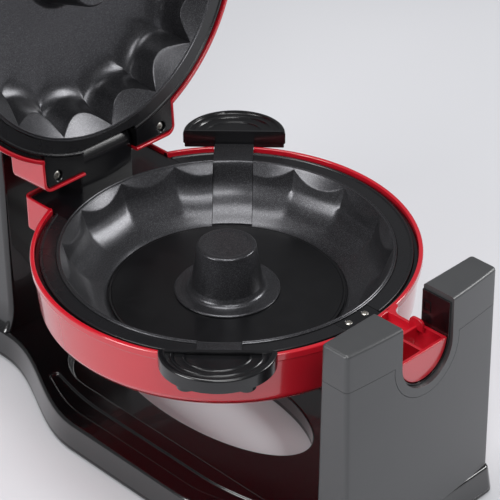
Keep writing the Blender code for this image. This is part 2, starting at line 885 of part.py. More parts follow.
def tab_outline(share=1, inner=0):
    """A D outline, straight towards the unit, its curve a share of the full tab."""
    points = []
    count = 8
    for i in range(count + 1):
        turn = math.pi * (0.5 - i / count)
        points.append((tab_start + inner + (tab_depth * share - inner) * abs(math.cos(turn)),
                       tab_width / 2 * share * math.sin(turn)))
    return points


def tab(side):
    """Finger tab outside the rim: rounded D block, two arched ribs, inner wall and two lugs below."""
    low = tab_top - tab_thick
    item = rounded(plate(tab_outline(), low, tab_top), tab_edge)
    for share in tab_rib_shares:
        band = plate(tab_outline(share), tab_top - tab_rib, tab_top + tab_rib)
        core = plate(tab_outline(share - tab_rib_share), tab_top - tab_rib * 2, tab_top + overrun)
        band = cut(band, core, box(0, tab_start + tab_depth * share / 3, -tab_width, tab_width,
                                   -overrun, tab_top + overrun))
        item = join(item, band)
    end = tab_width / 2 - tab_edge / 2
    item = join(item, box(tab_start, tab_start + tab_wall, -end, end, low - tab_wall_drop,
                          low + tab_edge))
    half = strap_width / 2 + clearance
    for y in (-lug_spread, lug_spread):
        item = join(item, rod(lug_radius, low - lug_drop, low + tab_thick / 2,
                              at=(tab_start + tab_depth - lug_inset, y), sides=around_screw))
    item = cut(item, box(0, tab_start + strap_overlap + clearance, -half, half,
                         low - tab_wall_drop - overrun, -strap_drop + clearance))
    return at_tab(item, side)


# Lid
def lid_shell(mat, parent):
    """Red dome of the lid with the hinge housing behind and the upper half of the handle."""
    item = bowl(lid_bowl_depth, 1)
    half = lid_lug_width / 2
    lug = plate(chamfered(half, lip_radius, lid_lug_back, lid_lug_corner), parting_gap,
                lid_lug_depth)
    item = join(item, lug, handle_half(1))
    hollow = bowl_hollow(lid_bowl_depth, 1, trim_seat(lid_flange_drop))
    lug_hollow = plate(chamfered(half - shell_wall, lip_radius - overrun,
                                 lid_lug_back - shell_wall, lid_lug_corner),
                       -overrun, lid_lug_depth - shell_wall)
    item = cut(item, hollow, lug_hollow, *handle_pockets(1))
    item = cut(item, ear(1, clearance * 2), ear(-1, clearance * 2))
    item = cut(item, lid_slot(), lid_chamfer())
    return finish(item, "lid_shell", mat, parent)


def lid_slot():
    """Room in the housing for the hinge barrel and its arm, from closed to fully open."""
    half = arm_width / 2 + clearance * 2
    room = barrel_radius + clearance * 2
    return box(-half, half, hinge_y - room, lid_lug_back + overrun, -overrun, hinge_rise + room)


def lid_chamfer():
    back = lid_lug_back
    low = parting_gap
    points = [(back - lid_lug_chamfer, low), (back - lid_lug_chamfer, low - overrun),
              (back + overrun, low - overrun), (back + overrun, low + lid_lug_chamfer),
              (back, low + lid_lug_chamfer)]
    return plate(points, -lid_lug_width, lid_lug_width, "X")


def lid_blocks(mats, parent):
    """Black hinge blocks in the housing either side of the barrel, with their sunk screws."""
    half = lid_lug_width / 2 - shell_wall - clearance
    inner = arm_width / 2 + clearance * 3
    back = lid_lug_back - shell_wall - clearance
    low = parting_gap * 2
    high = lid_lug_depth - shell_wall - clearance
    spread = hinge_screw_spread / 2
    place = rim_radius - hinge_screw_inset
    outline = chamfered(half, lip_radius, back, lid_lug_corner)
    for side, name in ((-1, "left"), (1, "right")):
        item = plate(outline, low, high)
        near, far = sorted((side * inner, -side * lid_lug_width))
        item = cut(item, box(near, far, 0, lid_lug_back + overrun, -overrun, high + overrun))
        item = cut(item, rod(trim_radius, -overrun, high + overrun, sides=around), lid_chamfer())
        item = cut(item, rod(pin_radius + clearance, -lid_lug_width, lid_lug_width, "X",
                             (hinge_y, hinge_rise)))
        item = cut(item, rod(screw_head_radius + clearance, -overrun, low + hinge_screw_sink,
                             at=(side * spread, place), sides=around_screw),
                   rod(screw_shank_radius + clearance, 0, low + hinge_screw_sink + screw_shank,
                       at=(side * spread, place), sides=around_screw))
        finish(item, "lid_hinge_block_" + name, mats["satin_black"], parent)
        seat = low + hinge_screw_sink - clearance
        head = rod(screw_head_radius, seat - screw_head, seat, at=(side * spread, place),
                   sides=around_screw)
        shank = rod(screw_shank_radius, seat - screw_head / 2, seat + screw_shank / 2,
                    at=(side * spread, place), sides=around_screw)
        finish(join(head, shank), "lid_hinge_screw_" + name, mats["steel"], parent)


def lid_inside(mats, parent):
    cone = (cone_foot_radius, cone_top_radius, lid_cone_rise)
    mould = fluted_mould(lid_mould_depth, lid_flange_drop, 1, False, cone)
    finish(mould, "lid_mould", mats["coating"], parent)
    finish(heater(1, lid_under), "lid_heater_element", mats["steel"], parent)
    finish(reflector(1, lid_bowl_depth), "lid_heat_reflector", mats["tin"], parent)
    arm = arm_width / 2 + clearance * 2
    ring = flange_ring(lid_flange_drop, 1)
    edge = hinge_y - barrel_radius - clearance * 2
    ring = cut(ring, box(-arm, arm, edge, rim_radius, -overrun, lid_bowl_depth))
    finish(ring, "lid_flange_ring", mats["flange"], parent)
    half = lid_lug_width / 2 - shell_wall
    trim = back_gap(trim_ring(lid_flange_drop, 1), half, lid_bowl_depth)
    finish(trim, "lid_trim_ring", mats["satin_black"], parent)


# Pin and spindle
def hinge_pin(mat, parent):
    reach = lid_lug_width / 2 - shell_wall - pin_inset
    finish(rod(pin_radius, -reach, reach, "X", (hinge_y, hinge_rise)), "hinge_pin", mat, parent)


def spindle(mat, parent):
    """Hollow shaft on the turning axis, with a flange on the hinge arm."""
    end = column_back - column_wall - clearance
    item = join(rod(spindle_flange, spindle_front, spindle_front + spindle_flange_thick, "Y"),
                rod(spindle_radius, spindle_front, end, "Y"))
    item = cut(item, rod(spindle_bore, spindle_front - overrun, end + overrun, "Y"))
    return finish(item, "rear_spindle", mat, parent)


# Stand
def waist(y):
    """Half width of the base at y: wide in the middle, drawn in to the column and the post."""
    rear = column_half_width + column_shoulder
    front = post_half_width + post_shoulder
    if y > 0:
        share = min(max((column_front - y) / waist_rear, 0), 1)
        end = rear
    else:
        share = min(max((y + post_back) / waist_front, 0), 1)
        end = front
    return end + (base_half_width - end) * share * share * (3 - 2 * share)


def base_outline(inset=0, steps=18):
    start = base_back - inset
    stop = -(base_front - inset)
    corner = column_edge * 2
    right = []
    for i in range(steps + 1):
        y = start + (stop - start) * i / steps
        near = min(start - y, y - stop)
        draw = corner - math.sqrt(max(corner ** 2 - max(corner - near, 0) ** 2, 0))
        right.append((waist(y) - inset - draw, y))
    return right + [(-x, y) for x, y in reversed(right)]


def opening(grow=0, steps=24):
    """The base's oval opening, its middle a little behind the unit's centre."""
    return [((opening_half_width + grow) * math.cos(math.tau * i / steps),
             opening_offset + (opening_half_length + grow) * math.sin(math.tau * i / steps))
            for i in range(steps)]


def recess_outline(grow=0):
    back = column_front - recess_rear + grow
    front = -(post_back - recess_margin) - grow
    return rounded_rectangle(recess_half_width + grow, front, back, recess_corner + grow)


def groove(side):
    """A long groove in the rail's top that runs along the waist."""
    points = []
    stations = 12
    first = column_front - waist_rear * 0.55
    last = -(post_back - waist_front * 0.55)
    for edge in (0, 1):
        run = []
        for i in range(stations + 1):
            y = first + (last - first) * i / stations
            taper = math.sin(math.pi * min(i, 2) / 4)
            width = groove_width * taper * (1 if i < stations else 0.5)
            run.append((side * (waist(y) - groove_inset - width * edge), y))
        points += run if edge == 0 else run[::-1]
    return plate(points, base_top - groove_depth, base_top + overrun)


def base_housing(mat, parent):
    """Glossy base: a waisted ring with a sunk deck round the big opening, hollow below."""
    item = plate(base_outline(), housing_floor - base_edge, base_top)
    for vert in item.data.vertices:
        if vert.co.z > base_deck:
            vert.co.x -= math.copysign(base_draft, vert.co.x)
    item = rounded(item, base_edge, 2, math.radians(60))
    item = cut(item, box(-base_half_width - overrun, base_half_width + overrun, -base_front
                         - overrun, base_back + overrun, 0, housing_floor))
    item = cut(item, plate(recess_outline(), base_deck, base_top + overrun))
    pocket = plate(base_outline(base_wall + base_draft), housing_floor - overrun, base_deck - base_wall)
    collar = plate(opening(base_wall), housing_floor - overrun * 2, base_top)
    item = cut(item, cut(pocket, collar))
    item = cut(item, plate(opening(), -overrun, base_top + overrun))
    item = cut(item, groove(1), groove(-1))
    return finish(item, "base_housing", mat, parent)


def cover_points():
    """Places of the pads or screws near the four corners of the base."""
    rear = base_back - pad_inset
    front = -(base_front - pad_inset)
    return [(side * (waist(y) - pad_inset), y) for side in (-1, 1) for y in (rear, front)]


def bottom_cover(mats, parent):
    item = plate(base_outline(), foot_height, foot_height + cover_thick)
    item = cut(item, plate(opening(), -overrun, base_top))
    names = ("rear_left", "front_left", "rear_right", "front_right")
    seat = foot_height + cover_thick / 2
    for name, (x, y) in zip(names, cover_points()):
        spot = (x, y * cover_screw_share)
        item = cut(item, rod(cover_screw_radius + clearance, -overrun, seat, at=spot,
                             sides=around_screw))
        finish(rod(cover_screw_radius, foot_height, seat - clearance, at=spot, sides=around_screw),
               "base_cover_screw_" + name, mats["steel"], parent)
        finish(rod(pad_radius, 0, foot_height - clearance, at=(x, y)), "foot_pad_" + name,
               mats["rubber"], parent)
    finish(item, "base_bottom_cover", mats["satin_black"], parent)


def rear_column(mats, parent):
    """Upright box behind the unit with the spindle's bearing in its face."""
    foot = base_top + clearance
    top = axis_height + column_rise
    item = rounded(box(-column_half_width, column_half_width, column_front, column_back, foot, top),
                   column_edge)
    inner = column_half_width - column_wall
    bore = spindle_radius + clearance
    item = cut(item, box(-inner, inner, column_front + column_wall * 3, column_back - column_wall,
                         foot - overrun, top - column_wall))
    item = cut(item, rod(bore + bush_wall + clearance, column_front - overrun,
                         column_front + column_wall * 4, "Y", (0, axis_height)))
    high = foot + gland_height
    item = cut(item, rod(gland_radius + clearance, column_back - column_wall * 2,
                         column_back + overrun, "Y", (0, high)))
    finish(item, "rear_column", mats["gloss_black"], parent)
    front = column_front - clearance
    bush = join(rod(bush_flange, front - bush_flange_thick, front, "Y", (0, axis_height)),
                rod(bore + bush_wall, front - bush_flange_thick / 2, column_front + column_wall * 3,
                    "Y", (0, axis_height)))
    bush = cut(bush, rod(bore, front - overrun, column_back, "Y", (0, axis_height)))
    finish(bush, "rear_bearing_bush", mats["satin_black"], parent)
    gland = join(rod(gland_flange, column_back + clearance, column_back + clearance
                     + gland_reach / 2, "Y", (0, high)),
                 rod(gland_radius, column_back - column_wall, column_back + gland_reach, "Y",
                     (0, high)))
    gland = cut(gland, rod(gland_radius / 2, column_front + column_depth / 2, column_back
                           + overrun, "Y", (0, high)))
    finish(gland, "cord_gland", mats["rubber"], parent)


def post_block(low, high, steps=10):
    """The front post's block: a bowed front face, and both broad faces lean out downward."""
    points = [(post_half_width, -post_back), (-post_half_width, -post_back)]
    for i in range(steps + 1):
        share = 2 * i / steps - 1
        points.append((post_half_width * share, -post_front + post_bow * share ** 2))
    item = plate(points, low, high)
    middle = -(post_front + post_back) / 2
    top = axis_height + column_rise
    for vert in item.data.vertices:
        lean = (top - vert.co.z) * post_draft
        vert.co.y += lean if vert.co.y > middle else -lean
    return item


def slot_tool(radius, grow):
    """A U cutter about the turning axis, open upward."""
    far = post_front + overrun
    item = rod(radius, -far, -post_back + overrun, "Y", (0, axis_height), around)
    top = axis_height + column_rise + overrun
    return join(item, box(-radius, radius, -far - grow, -post_back + overrun + grow, axis_height,
                          top))


def front_post(mats, parent):
    """Front support: a body, a saddle cap with the U band, and a black slot liner."""
    top = axis_height + column_rise
    seam = axis_height + seam_rise
    body = rounded(post_block(base_top + clearance, top), post_edge)
    cap = rounded(post_block(base_top + clearance, top), post_edge)
    reach = post_front + overrun
    body = cut(body, box(-post_half_width - overrun, post_half_width + overrun, -reach, -post_back
                         + overrun, seam - clearance, top + overrun))
    body = cut(body, rod(slot_radius + slot_band + clearance, -reach, -post_back + overrun, "Y",
                         (0, axis_height), around))
    inner = post_half_width - column_wall
    body = cut(body, box(-inner, inner, -post_front + post_bow + column_wall,
                         -post_back - column_wall, 0,
                         axis_height - slot_radius * 2))
    finish(body, "front_post_body", mats["post_black"], parent)
    lower = box(-post_half_width - overrun, post_half_width + overrun, -reach, -post_back + overrun,
                0, seam)
    lower = cut(lower, rod(slot_radius + slot_band, -reach - overrun, -post_back + overrun * 2, "Y",
                           (0, axis_height), around))
    cap = cut(cap, lower, slot_tool(slot_radius, overrun))
    finish(cap, "front_post_cap", mats["post_black"], parent)
    finish(slot_liner(top), "front_slot_liner", mats["gloss_black"], parent)


def slot_liner(top):
    """Black U channel that the grip rests in, set back from the post's front."""
    front = -post_front + grip_wall
    back = -post_back - clearance
    outer = slot_radius - clearance
    inner = grip_radius + clearance
    high = top - liner_top
    item = join(rod(outer, front, back, "Y", (0, axis_height), around // 2),
                box(-outer, outer, front, back, axis_height, high))
    return cut(item, rod(inner, front - overrun, back + overrun, "Y", (0, axis_height), around // 2),
               box(-inner, inner, front - overrun, back + overrun, axis_height, high + overrun))


def build():
    clear_scene()
    mats = {
        "red": make_material("red_gloss", (0.42, 0.006, 0.010), 0.12),
        "coating": make_material("coated_aluminium", (0.022, 0.022, 0.025), 0.35, 0.3),
        "coating_dark": make_material("coated_disc", (0.012, 0.012, 0.014), 0.45, 0.2),
        "flange": make_material("flange_grey", (0.045, 0.046, 0.050), 0.45, 0.2),
        "satin_black": make_material("satin_black", (0.010, 0.010, 0.011), 0.35),
        "gloss_black": make_material("gloss_black", (0.005, 0.005, 0.006), 0.12),
        "post_black": make_material("post_black", (0.020, 0.021, 0.022), 0.38),
        "rubber": make_material("rubber", (0.010, 0.010, 0.010), 0.80),
        "steel": make_material("steel", (0.60, 0.60, 0.60), 0.25, 1),
        "tin": make_material("tinplate", (0.55, 0.55, 0.56), 0.35, 1),
    }
    stand = pivot("stand_centre", (0, centre_shift, 0), (0, 0, 0))
    unit = pivot("unit_pivot", (0, 0, axis_height), (0, 0, 0), stand)
    lid = pivot("lid_pivot", (0, hinge_y, hinge_rise), (0, hinge_y, hinge_rise), unit, -open_angle)
    lower_shell(mats["red"], unit)
    lower_rings(mats["flange"], mats["satin_black"], unit)
    lower_inside(mats, unit)
    bridge(mats["satin_black"], mats["steel"], unit)
    hinge_arm(mats["gloss_black"], unit)
    hinge_pin(mats["steel"], unit)
    spindle(mats["steel"], unit)
    lifter(mats, unit)
    lid_shell(mats["red"], lid)
    lid_inside(mats, lid)
    lid_blocks(mats, lid)
    base_housing(mats["gloss_black"], stand)
    bottom_cover(mats, stand)
    rear_column(mats, stand)
    front_post(mats, stand)
    bpy.context.view_layer.update()


build()
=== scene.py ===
# Electric cake maker with its lid tipped open, standing on a pale studio floor.
import json
import math

import bmesh
import bpy
import numpy as np
from mathutils import Matrix, Vector


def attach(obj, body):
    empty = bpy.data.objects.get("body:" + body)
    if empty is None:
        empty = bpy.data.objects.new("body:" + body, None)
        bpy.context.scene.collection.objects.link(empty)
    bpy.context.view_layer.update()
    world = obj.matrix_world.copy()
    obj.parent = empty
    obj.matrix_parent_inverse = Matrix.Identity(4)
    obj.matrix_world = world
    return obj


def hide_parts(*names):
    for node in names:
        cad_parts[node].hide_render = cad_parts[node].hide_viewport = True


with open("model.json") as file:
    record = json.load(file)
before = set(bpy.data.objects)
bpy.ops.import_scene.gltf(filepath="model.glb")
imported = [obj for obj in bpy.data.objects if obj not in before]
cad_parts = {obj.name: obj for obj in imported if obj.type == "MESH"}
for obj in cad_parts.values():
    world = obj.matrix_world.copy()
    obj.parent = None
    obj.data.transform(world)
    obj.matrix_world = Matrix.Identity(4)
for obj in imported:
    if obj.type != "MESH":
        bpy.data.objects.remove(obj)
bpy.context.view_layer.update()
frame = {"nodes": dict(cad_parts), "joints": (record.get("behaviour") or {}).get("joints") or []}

# Camera. The view is the photographer's: a long lens from the front left, 33 degrees down. It
# stands at a measured place from the middle of the turning axis, which the frame gives.
mm = 0.001
joints = {joint["name"]: joint for joint in frame["joints"]}
axis_spot = Vector(joints["unit_flip"]["pos_m"])
turn = math.radians(44.5)
drop = math.radians(32.853)
lean = math.radians(-0.397)
ahead = Vector((math.sin(turn) * math.cos(drop), math.cos(turn) * math.cos(drop), -math.sin(drop)))
side = Vector((math.cos(turn), -math.sin(turn), 0))
up = side.cross(ahead)
side_leaned = side * math.cos(lean) + up * math.sin(lean)
up_leaned = up * math.cos(lean) - side * math.sin(lean)
lens = bpy.data.cameras.new("camera")
lens.sensor_width = 36
lens.lens = 151.2
lens.clip_end = 20
camera = bpy.data.objects.new("camera", lens)
place = Matrix((side_leaned, up_leaned, -ahead)).transposed().to_4x4()
place.translation = axis_spot + Vector((-919.2, -960.4, 852.25)) * mm
camera.matrix_world = place
bpy.context.scene.collection.objects.link(camera)
bpy.context.scene.camera = camera
bpy.context.scene.view_settings.view_transform = "Standard"


class Wire:
    """An output socket that takes part in sums, each of which adds a Math node."""

    def __init__(self, tree, socket):
        self.tree = tree
        self.socket = socket

    def sum(self, operation, first, second):
        node = self.tree.nodes.new("ShaderNodeMath")
        node.operation = operation
        for slot, value in zip(node.inputs, (first, second)):
            if isinstance(value, Wire):
                self.tree.links.new(value.socket, slot)
            else:
                slot.default_value = value
        return Wire(self.tree, node.outputs[0])

    def __add__(self, other):
        return self.sum("ADD", self, other)

    def __radd__(self, other):
        return self.sum("ADD", other, self)

    def __rmul__(self, other):
        return self.sum("MULTIPLY", other, self)


class Finish:
    """A material with one Principled shader; constants are set on its sockets."""

    def __init__(self, name, **constants):
        self.material = bpy.data.materials.new(name)
        self.material.use_nodes = True
        self.tree = self.material.node_tree
        self.shader = self.tree.nodes["Principled BSDF"]
        for key, value in constants.items():
            self.shader.inputs[key.replace("_", " ")].default_value = value

    def node(self, kind, settings=(), out=0, **sockets):
        node = self.tree.nodes.new("ShaderNode" + kind)
        for key, value in dict(settings).items():
            if key == "stops":
                for element, (spot, grey) in zip(node.color_ramp.elements, value):
                    element.position = spot
                    element.color = (grey, grey, grey, 1)
            else:
                setattr(node, key, value)
        for key, value in sockets.items():
            index = key[1:]
            slot = node.inputs[int(index) if index.isdigit() else key.replace("_", " ")]
            if isinstance(value, Wire):
                self.tree.links.new(value.socket, slot)
            else:
                slot.default_value = value
        return Wire(self.tree, node.outputs[out])

    def feed(self, **sockets):
        for key, value in sockets.items():
            self.tree.links.new(value.socket, self.shader.inputs[key.replace("_", " ")])

    def grain(self, size, detail=2.0):
        """Noise whose grain is about the given size in millimetres, fixed to the piece."""
        place = self.node("TexCoord", out=3)
        return self.node("TexNoise", Vector=place, Scale=1 / (size * mm), Detail=detail,
                         Roughness=0.55)

    def blend(self, share, first, second):
        return self.node("Mix", {"data_type": "RGBA"}, out=2, i0=share, i6=(*first, 1),
                         i7=(*second, 1))

    def steps(self, value, low, high):
        """The value's run from low to high, spread over 0 to 1."""
        return self.node("ValToRGB", {"stops": ((low, 0), (high, 1))}, Fac=value)

    def rough(self, height, strength, distance):
        return self.node("Bump", Height=height, Strength=strength, Distance=distance * mm)


# Floor and light: a wide sheet of pale paper under a dim studio sky, and four soft boxes that
# stand round the table and over it.
def lamp(name, spot, aim, width, height, watts):
    light = bpy.data.lights.new(name, "AREA")
    light.shape = "RECTANGLE"
    light.size = width
    light.size_y = height
    light.energy = watts
    item = bpy.data.objects.new(name, light)
    item.location = spot
    item.rotation_euler = (Vector(aim) - Vector(spot)).to_track_quat("-Z", "Y").to_euler()
    bpy.context.scene.collection.objects.link(item)


lamp("top_softbox", (-0.1, 0.1, 2.1), (0, 0, 0.15), 1.0, 1.0, 21)
lamp("left_softbox", (-1.7, 0.25, 0.95), (0, 0, 0.12), 0.8, 0.8, 22)
lamp("camera_softbox", (-0.75, -1.25, 1.7), (0, 0, 0.12), 1.2, 0.5, 17)
lamp("right_softbox", (1.45, -0.95, 1.05), (0, 0, 0.15), 0.8, 0.6, 19)
world = bpy.data.worlds.new("studio")
world.use_nodes = True
world.node_tree.nodes["Background"].inputs["Color"].default_value = (0.80, 0.81, 0.84, 1)
world.node_tree.nodes["Background"].inputs["Strength"].default_value = 0.22
bpy.context.scene.world = world

paper = Finish("floor_paper", Roughness=0.8)
paper.feed(Base_Color=paper.blend(paper.grain(500), (0.60, 0.605, 0.635), (0.66, 0.665, 0.69)))
sheet = bmesh.new()
bmesh.ops.create_circle(sheet, cap_ends=True, radius=20, segments=96)
mesh = bpy.data.meshes.new("floor")
sheet.to_mesh(mesh)
mesh.materials.append(paper.material)
floor = bpy.data.objects.new("floor", mesh)
bpy.context.scene.collection.objects.link(floor)

# Lower mould: a deep-drawn aluminium pan with sixteen inward lobes under half-moon facets,
# coated inside with dark speckled non-stick. As all pieces of the unit, it is written in
# millimetres about the turning axis along Y, with z = 0 between the two halves.
gap = 0.3
at_unit = Matrix.Translation(axis_spot)
lip_radius = 125
lip_width = 3
flutes = 16
floor_radius = 91.2
lower_form = {"depth": 38.4, "flange": 2.9, "floor": floor_radius, "inset": 6.2, "drop": 9.0,
              "twist": math.radians(-2.2),
              "down": (0, 0.10, 0.26, 0.43, 0.625, 0.80, 0.925, 1),
              "inward": (0, 0.035, 0.085, 0.15, 0.29, 0.50, 0.73, 1),
              "pillow_down": (0, 0.22, 0.43, 0.625, 0.80, 0.925, 1),
              "pillow_high": (3.6, 3.6, 2.9, 2.4, 1.5, 0.5, 0)}
strap_width = 31.8
strap_thick = 1.6
strap_seat = 1.7
channel_rise = strap_thick + gap
lobe_roundness = 2.1
petal_fillet = 1.1
lobe_rows = 21
tab_turn = math.radians(43.5)

coating = Finish("speckled_coating", Metallic=0.75, Coat_Weight=0.25, Coat_Roughness=0.2)
speck = coating.steps(coating.grain(0.45), 0.50, 0.70)
coating.feed(Base_Color=coating.blend(speck, (0.034, 0.034, 0.038), (0.15, 0.15, 0.16)),
             Roughness=0.27 + 0.08 * speck + 0.04 * coating.grain(12),
             Normal=coating.rough(coating.grain(0.5), 0.12, 0.03))


def smooth_curve(value, spots, heights):
    """A rounded reading of a table: three nearby straight readings, averaged."""
    return sum(float(np.interp(value + shift, spots, heights)) for shift in (-0.05, 0, 0.05)) / 3


def wall_point(form, share, outward=0):
    """The crease line of the wall, moved square to itself, as (radius, depth below the lip)."""
    low = max(share - 0.02, 0)
    high = min(share + 0.02, 1)
    radius = [lip_radius - (lip_radius - form["floor"]) * smooth_curve(s, form["down"], form["inward"])
              for s in (low, share, high)]
    run = (high - low) * form["depth"]
    length = math.hypot(radius[2] - radius[0], run)
    return (radius[1] + run / length * outward,
            form["depth"] * share - (radius[2] - radius[0]) / length * outward)


def lobe_point(form, down, swell):
    share = min(down / form["depth"], 1)
    pillow = smooth_curve(share, form["pillow_down"], form["pillow_high"])
    return wall_point(form, share)[0] - swell * pillow, down


def mould_column(form, angle, channel):
    """Inner face of the pan at one angle, as (radius, depth below the parting plane)."""
    flange = form["flange"]
    top = flange - 1.2
    edge = top + 0.6
    outer = lip_radius + lip_width
    if channel:
        low = strap_seat + channel_rise
        column = [(outer, low + 1.2)] + [(outer - i * 0.02, low) for i in range(5)]
        column += [(lip_radius + channel_rise - 0.02 * i, low + 0.1 * i) for i in range(4)]
        column += [(wall_point(form, 0, channel_rise)[0], low + 0.6 + 0.5 * i) for i in range(6)]
        for i in range(lobe_rows + 1):
            radius, down = wall_point(form, 0.10 + 0.90 * i / lobe_rows, channel_rise)
            column.append((radius, max(edge + down, low + 3.2)))
        return column
    phase = 2 * (((angle - form["twist"]) / (math.tau / flutes)) % 1) - 1
    swell = 1 - abs(phase) ** lobe_roundness
    column = [(outer, flange + 1.2), (outer - 0.05, flange - 0.6), (outer - 0.5, top + 0.1),
              (outer - 0.9, top + 0.12), (outer - 1.2, top + 0.45), (lip_radius + 1.3, top + 0.45),
              (lip_radius + 0.9, top + 0.08), (lip_radius + 0.5, top),
              (lip_radius + 0.15, top + 0.15), (lip_radius, edge)]
    inset = form["inset"] * swell + 0.02
    start = form["drop"] * swell + 0.03
    for i in range(1, 4):
        column.append((lip_radius - inset * i / 4, edge + start * i / 4))
    fillet = min(petal_fillet, 3 * swell)
    slope = math.hypot(inset, start)
    above = Vector((inset * (1 - fillet / slope), start * (1 - fillet / slope)))
    corner = Vector((inset, start))
    below = lobe_point(form, start + fillet, swell)
    below = Vector((lip_radius - below[0], below[1]))
    for i in range(4):
        share = i / 3
        spot = above * (1 - share) ** 2 + corner * 2 * share * (1 - share) + below * share ** 2
        column.append((lip_radius - spot.x, edge + spot.y))
    for i in range(1, lobe_rows + 1):
        share = i / lobe_rows
        radius, down = lobe_point(form, below.y + (form["depth"] - below.y) * share, swell)
        column.append((radius, edge + down))
    return column


def skin(rings, ends=False):
    """A mesh woven through rings of equally many points."""
    work = bmesh.new()
    rows = [[work.verts.new(p) for p in ring] for ring in rings]
    count = len(rows[0])
    for low, high in zip(rows, rows[1:]):
        for k in range(count):
            work.faces.new((low[k], high[k], high[(k + 1) % count], low[(k + 1) % count]))
    if ends:
        work.faces.new(rows[0])
        work.faces.new(rows[-1][::-1])
    bmesh.ops.remove_doubles(work, verts=work.verts, dist=0.0001)
    bmesh.ops.recalc_face_normals(work, faces=work.faces)
    mesh = bpy.data.meshes.new("skin")
    work.to_mesh(mesh)
    work.free()
    return mesh


def show(name, meshes, finish, place, body, nodes, sharp=35):
    """Link the piece in metres, let it ride on its body and stand for its CAD nodes."""
    work = bmesh.new()
    for mesh in meshes if isinstance(meshes, list) else [meshes]:
        work.from_mesh(mesh)
    mesh = bpy.data.meshes.new(name)
    work.to_mesh(mesh)
    work.free()
    mesh.transform(Matrix.Scale(mm, 4))
    mesh.materials.append(finish.material)
    for face in mesh.polygons:
        face.material_index = 0
    mesh.shade_smooth()
    mesh.set_sharp_from_angle(angle=math.radians(sharp))
    item = bpy.data.objects.new(name, mesh)
    item.matrix_world = place
    bpy.context.scene.collection.objects.link(item)
    even = item.modifiers.new("even_normals", "WEIGHTED_NORMAL")
    even.keep_sharp = True
    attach(item, body)
    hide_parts(*nodes)


def fluted_pan(form, out, channels):
    """Rings of the pan's inner face; the strap channels keep their width from lip to floor."""
    half = strap_width / 2 + gap
    lanes = (tab_turn, tab_turn + math.pi) if channels else ()
    stations = []
    count = flutes * 16
    for i in range(count):
        angle = (math.tau * i / count + form["twist"]) % math.tau
        near = min((abs((angle - lane + math.pi) % math.tau - math.pi) for lane in lanes),
                   default=math.pi)
        if near > math.asin((half + 0.1) / floor_radius) + math.radians(0.4):
            stations.append((angle, 0, False))
    for lane in lanes:
        for offset in (-half - 0.04, half + 0.04):
            stations.append((lane, offset, False))
        for i in range(9):
            stations.append((lane, -half + 2 * half * i / 8, True))
    columns = []
    for lane, offset, channel in stations:
        base = lane + math.asin(offset / lip_radius)
        column = [(r, lane + (math.asin(offset / r) if offset else 0), d)
                  for r, d in mould_column(form, base, channel)]
        columns.append((base % math.tau, column))
    columns.sort(key=lambda entry: entry[0])
    rings = []
    for j in range(len(columns[0][1])):
        ring = [column[j] for base, column in columns]
        rings.append([(r * math.cos(a), r * math.sin(a), out * d) for r, a, d in ring])
    return rings


def more_rings(rings, profile):
    """Carry the last ring on through (radius, z) points."""
    last = [math.atan2(y, x) for x, y, z in rings[-1]]
    for radius, z in profile:
        rings.append([(radius * math.cos(a), radius * math.sin(a), z) for a in last])


lower_depth = lower_form["depth"]
lower_flange = lower_form["flange"]
rings = fluted_pan(lower_form, -1, True)
foot = rings[-1][0][2]
more_rings(rings, [(91, foot - 2.0), (60, foot - 2.2), (60, -45.6), (91, -45.6), (101, -41.5),
                   (115, -32), (124, -22), (127.5, -12), (128, -5.3)])
rings.append(rings[0])
show("lower_mould_pan", skin(rings), coating, at_unit, "unit", ("lower_mould",), 24)

# Lifting insert: a coated steel disc that lies on the pan's floor, a hollow drawn cone in its
# middle, and two sprung straps that lie in the pan's channels and end in the finger tabs.
disc_finish = Finish("coated_disc", Metallic=0.2, Coat_Weight=0.1, Coat_Roughness=0.3)
cloud = disc_finish.grain(14, 4)
disc_finish.feed(Base_Color=disc_finish.blend(cloud, (0.002, 0.002, 0.0025), (0.005, 0.005, 0.006)),
                 Roughness=0.27 + 0.10 * cloud,
                 Normal=disc_finish.rough(disc_finish.grain(0.5), 0.2, 0.04))


def rounded_line(points, steps=5, closed=True):
    """Points (a, b, fillet) with each corner replaced by an arc of that radius."""
    result = []
    count = len(points)
    for i, (a, b, fillet) in enumerate(points):
        if fillet == 0 or (not closed and i in (0, count - 1)):
            result.append((a, b))
            continue
        here = Vector((a, b))
        before = Vector(points[i - 1][:2]) - here
        after = Vector(points[(i + 1) % count][:2]) - here
        half = before.angle(after) / 2
        run = min(fillet / math.tan(half), before.length * 0.49, after.length * 0.49)
        radius = run * math.tan(half)
        bisector = (before.normalized() + after.normalized()).normalized()
        centre = here + bisector * radius / math.sin(half)
        first = here + before.normalized() * run - centre
        last = here + after.normalized() * run - centre
        bend = math.atan2(first.x * last.y - first.y * last.x, first.dot(last))
        for k in range(steps + 1):
            spot = centre + Matrix.Rotation(bend * k / steps, 2) @ first
            result.append((spot.x, spot.y))
    return result


def turned(profile, count=192):
    """A profile of (radius, z) points turned about Z; it closes on itself off the axis."""
    rings = []
    for radius, z in profile:
        rings.append([(radius * math.cos(math.tau * k / count),
                       radius * math.sin(math.tau * k / count), z) for k in range(count)])
    if profile[0][0] > 0:
        rings.append(rings[0])
    return skin(rings)


def offset(points, amount):
    """A closed outline moved inwards by an amount, square to its sides."""
    count = len(points)
    area = sum(points[i - 1][0] * points[i][1] - points[i][0] * points[i - 1][1]
               for i in range(count))
    moved = []
    for i, point in enumerate(points):
        here = Vector(point)
        first = (here - Vector(points[i - 1])).normalized()
        second = (Vector(points[(i + 1) % count]) - here).normalized()
        normal = Vector((-first.y - second.y, first.x + second.x)) * math.copysign(1, area)
        moved.append(tuple(here + normal * amount * 2 / max(normal.length_squared, 0.5)))
    return moved


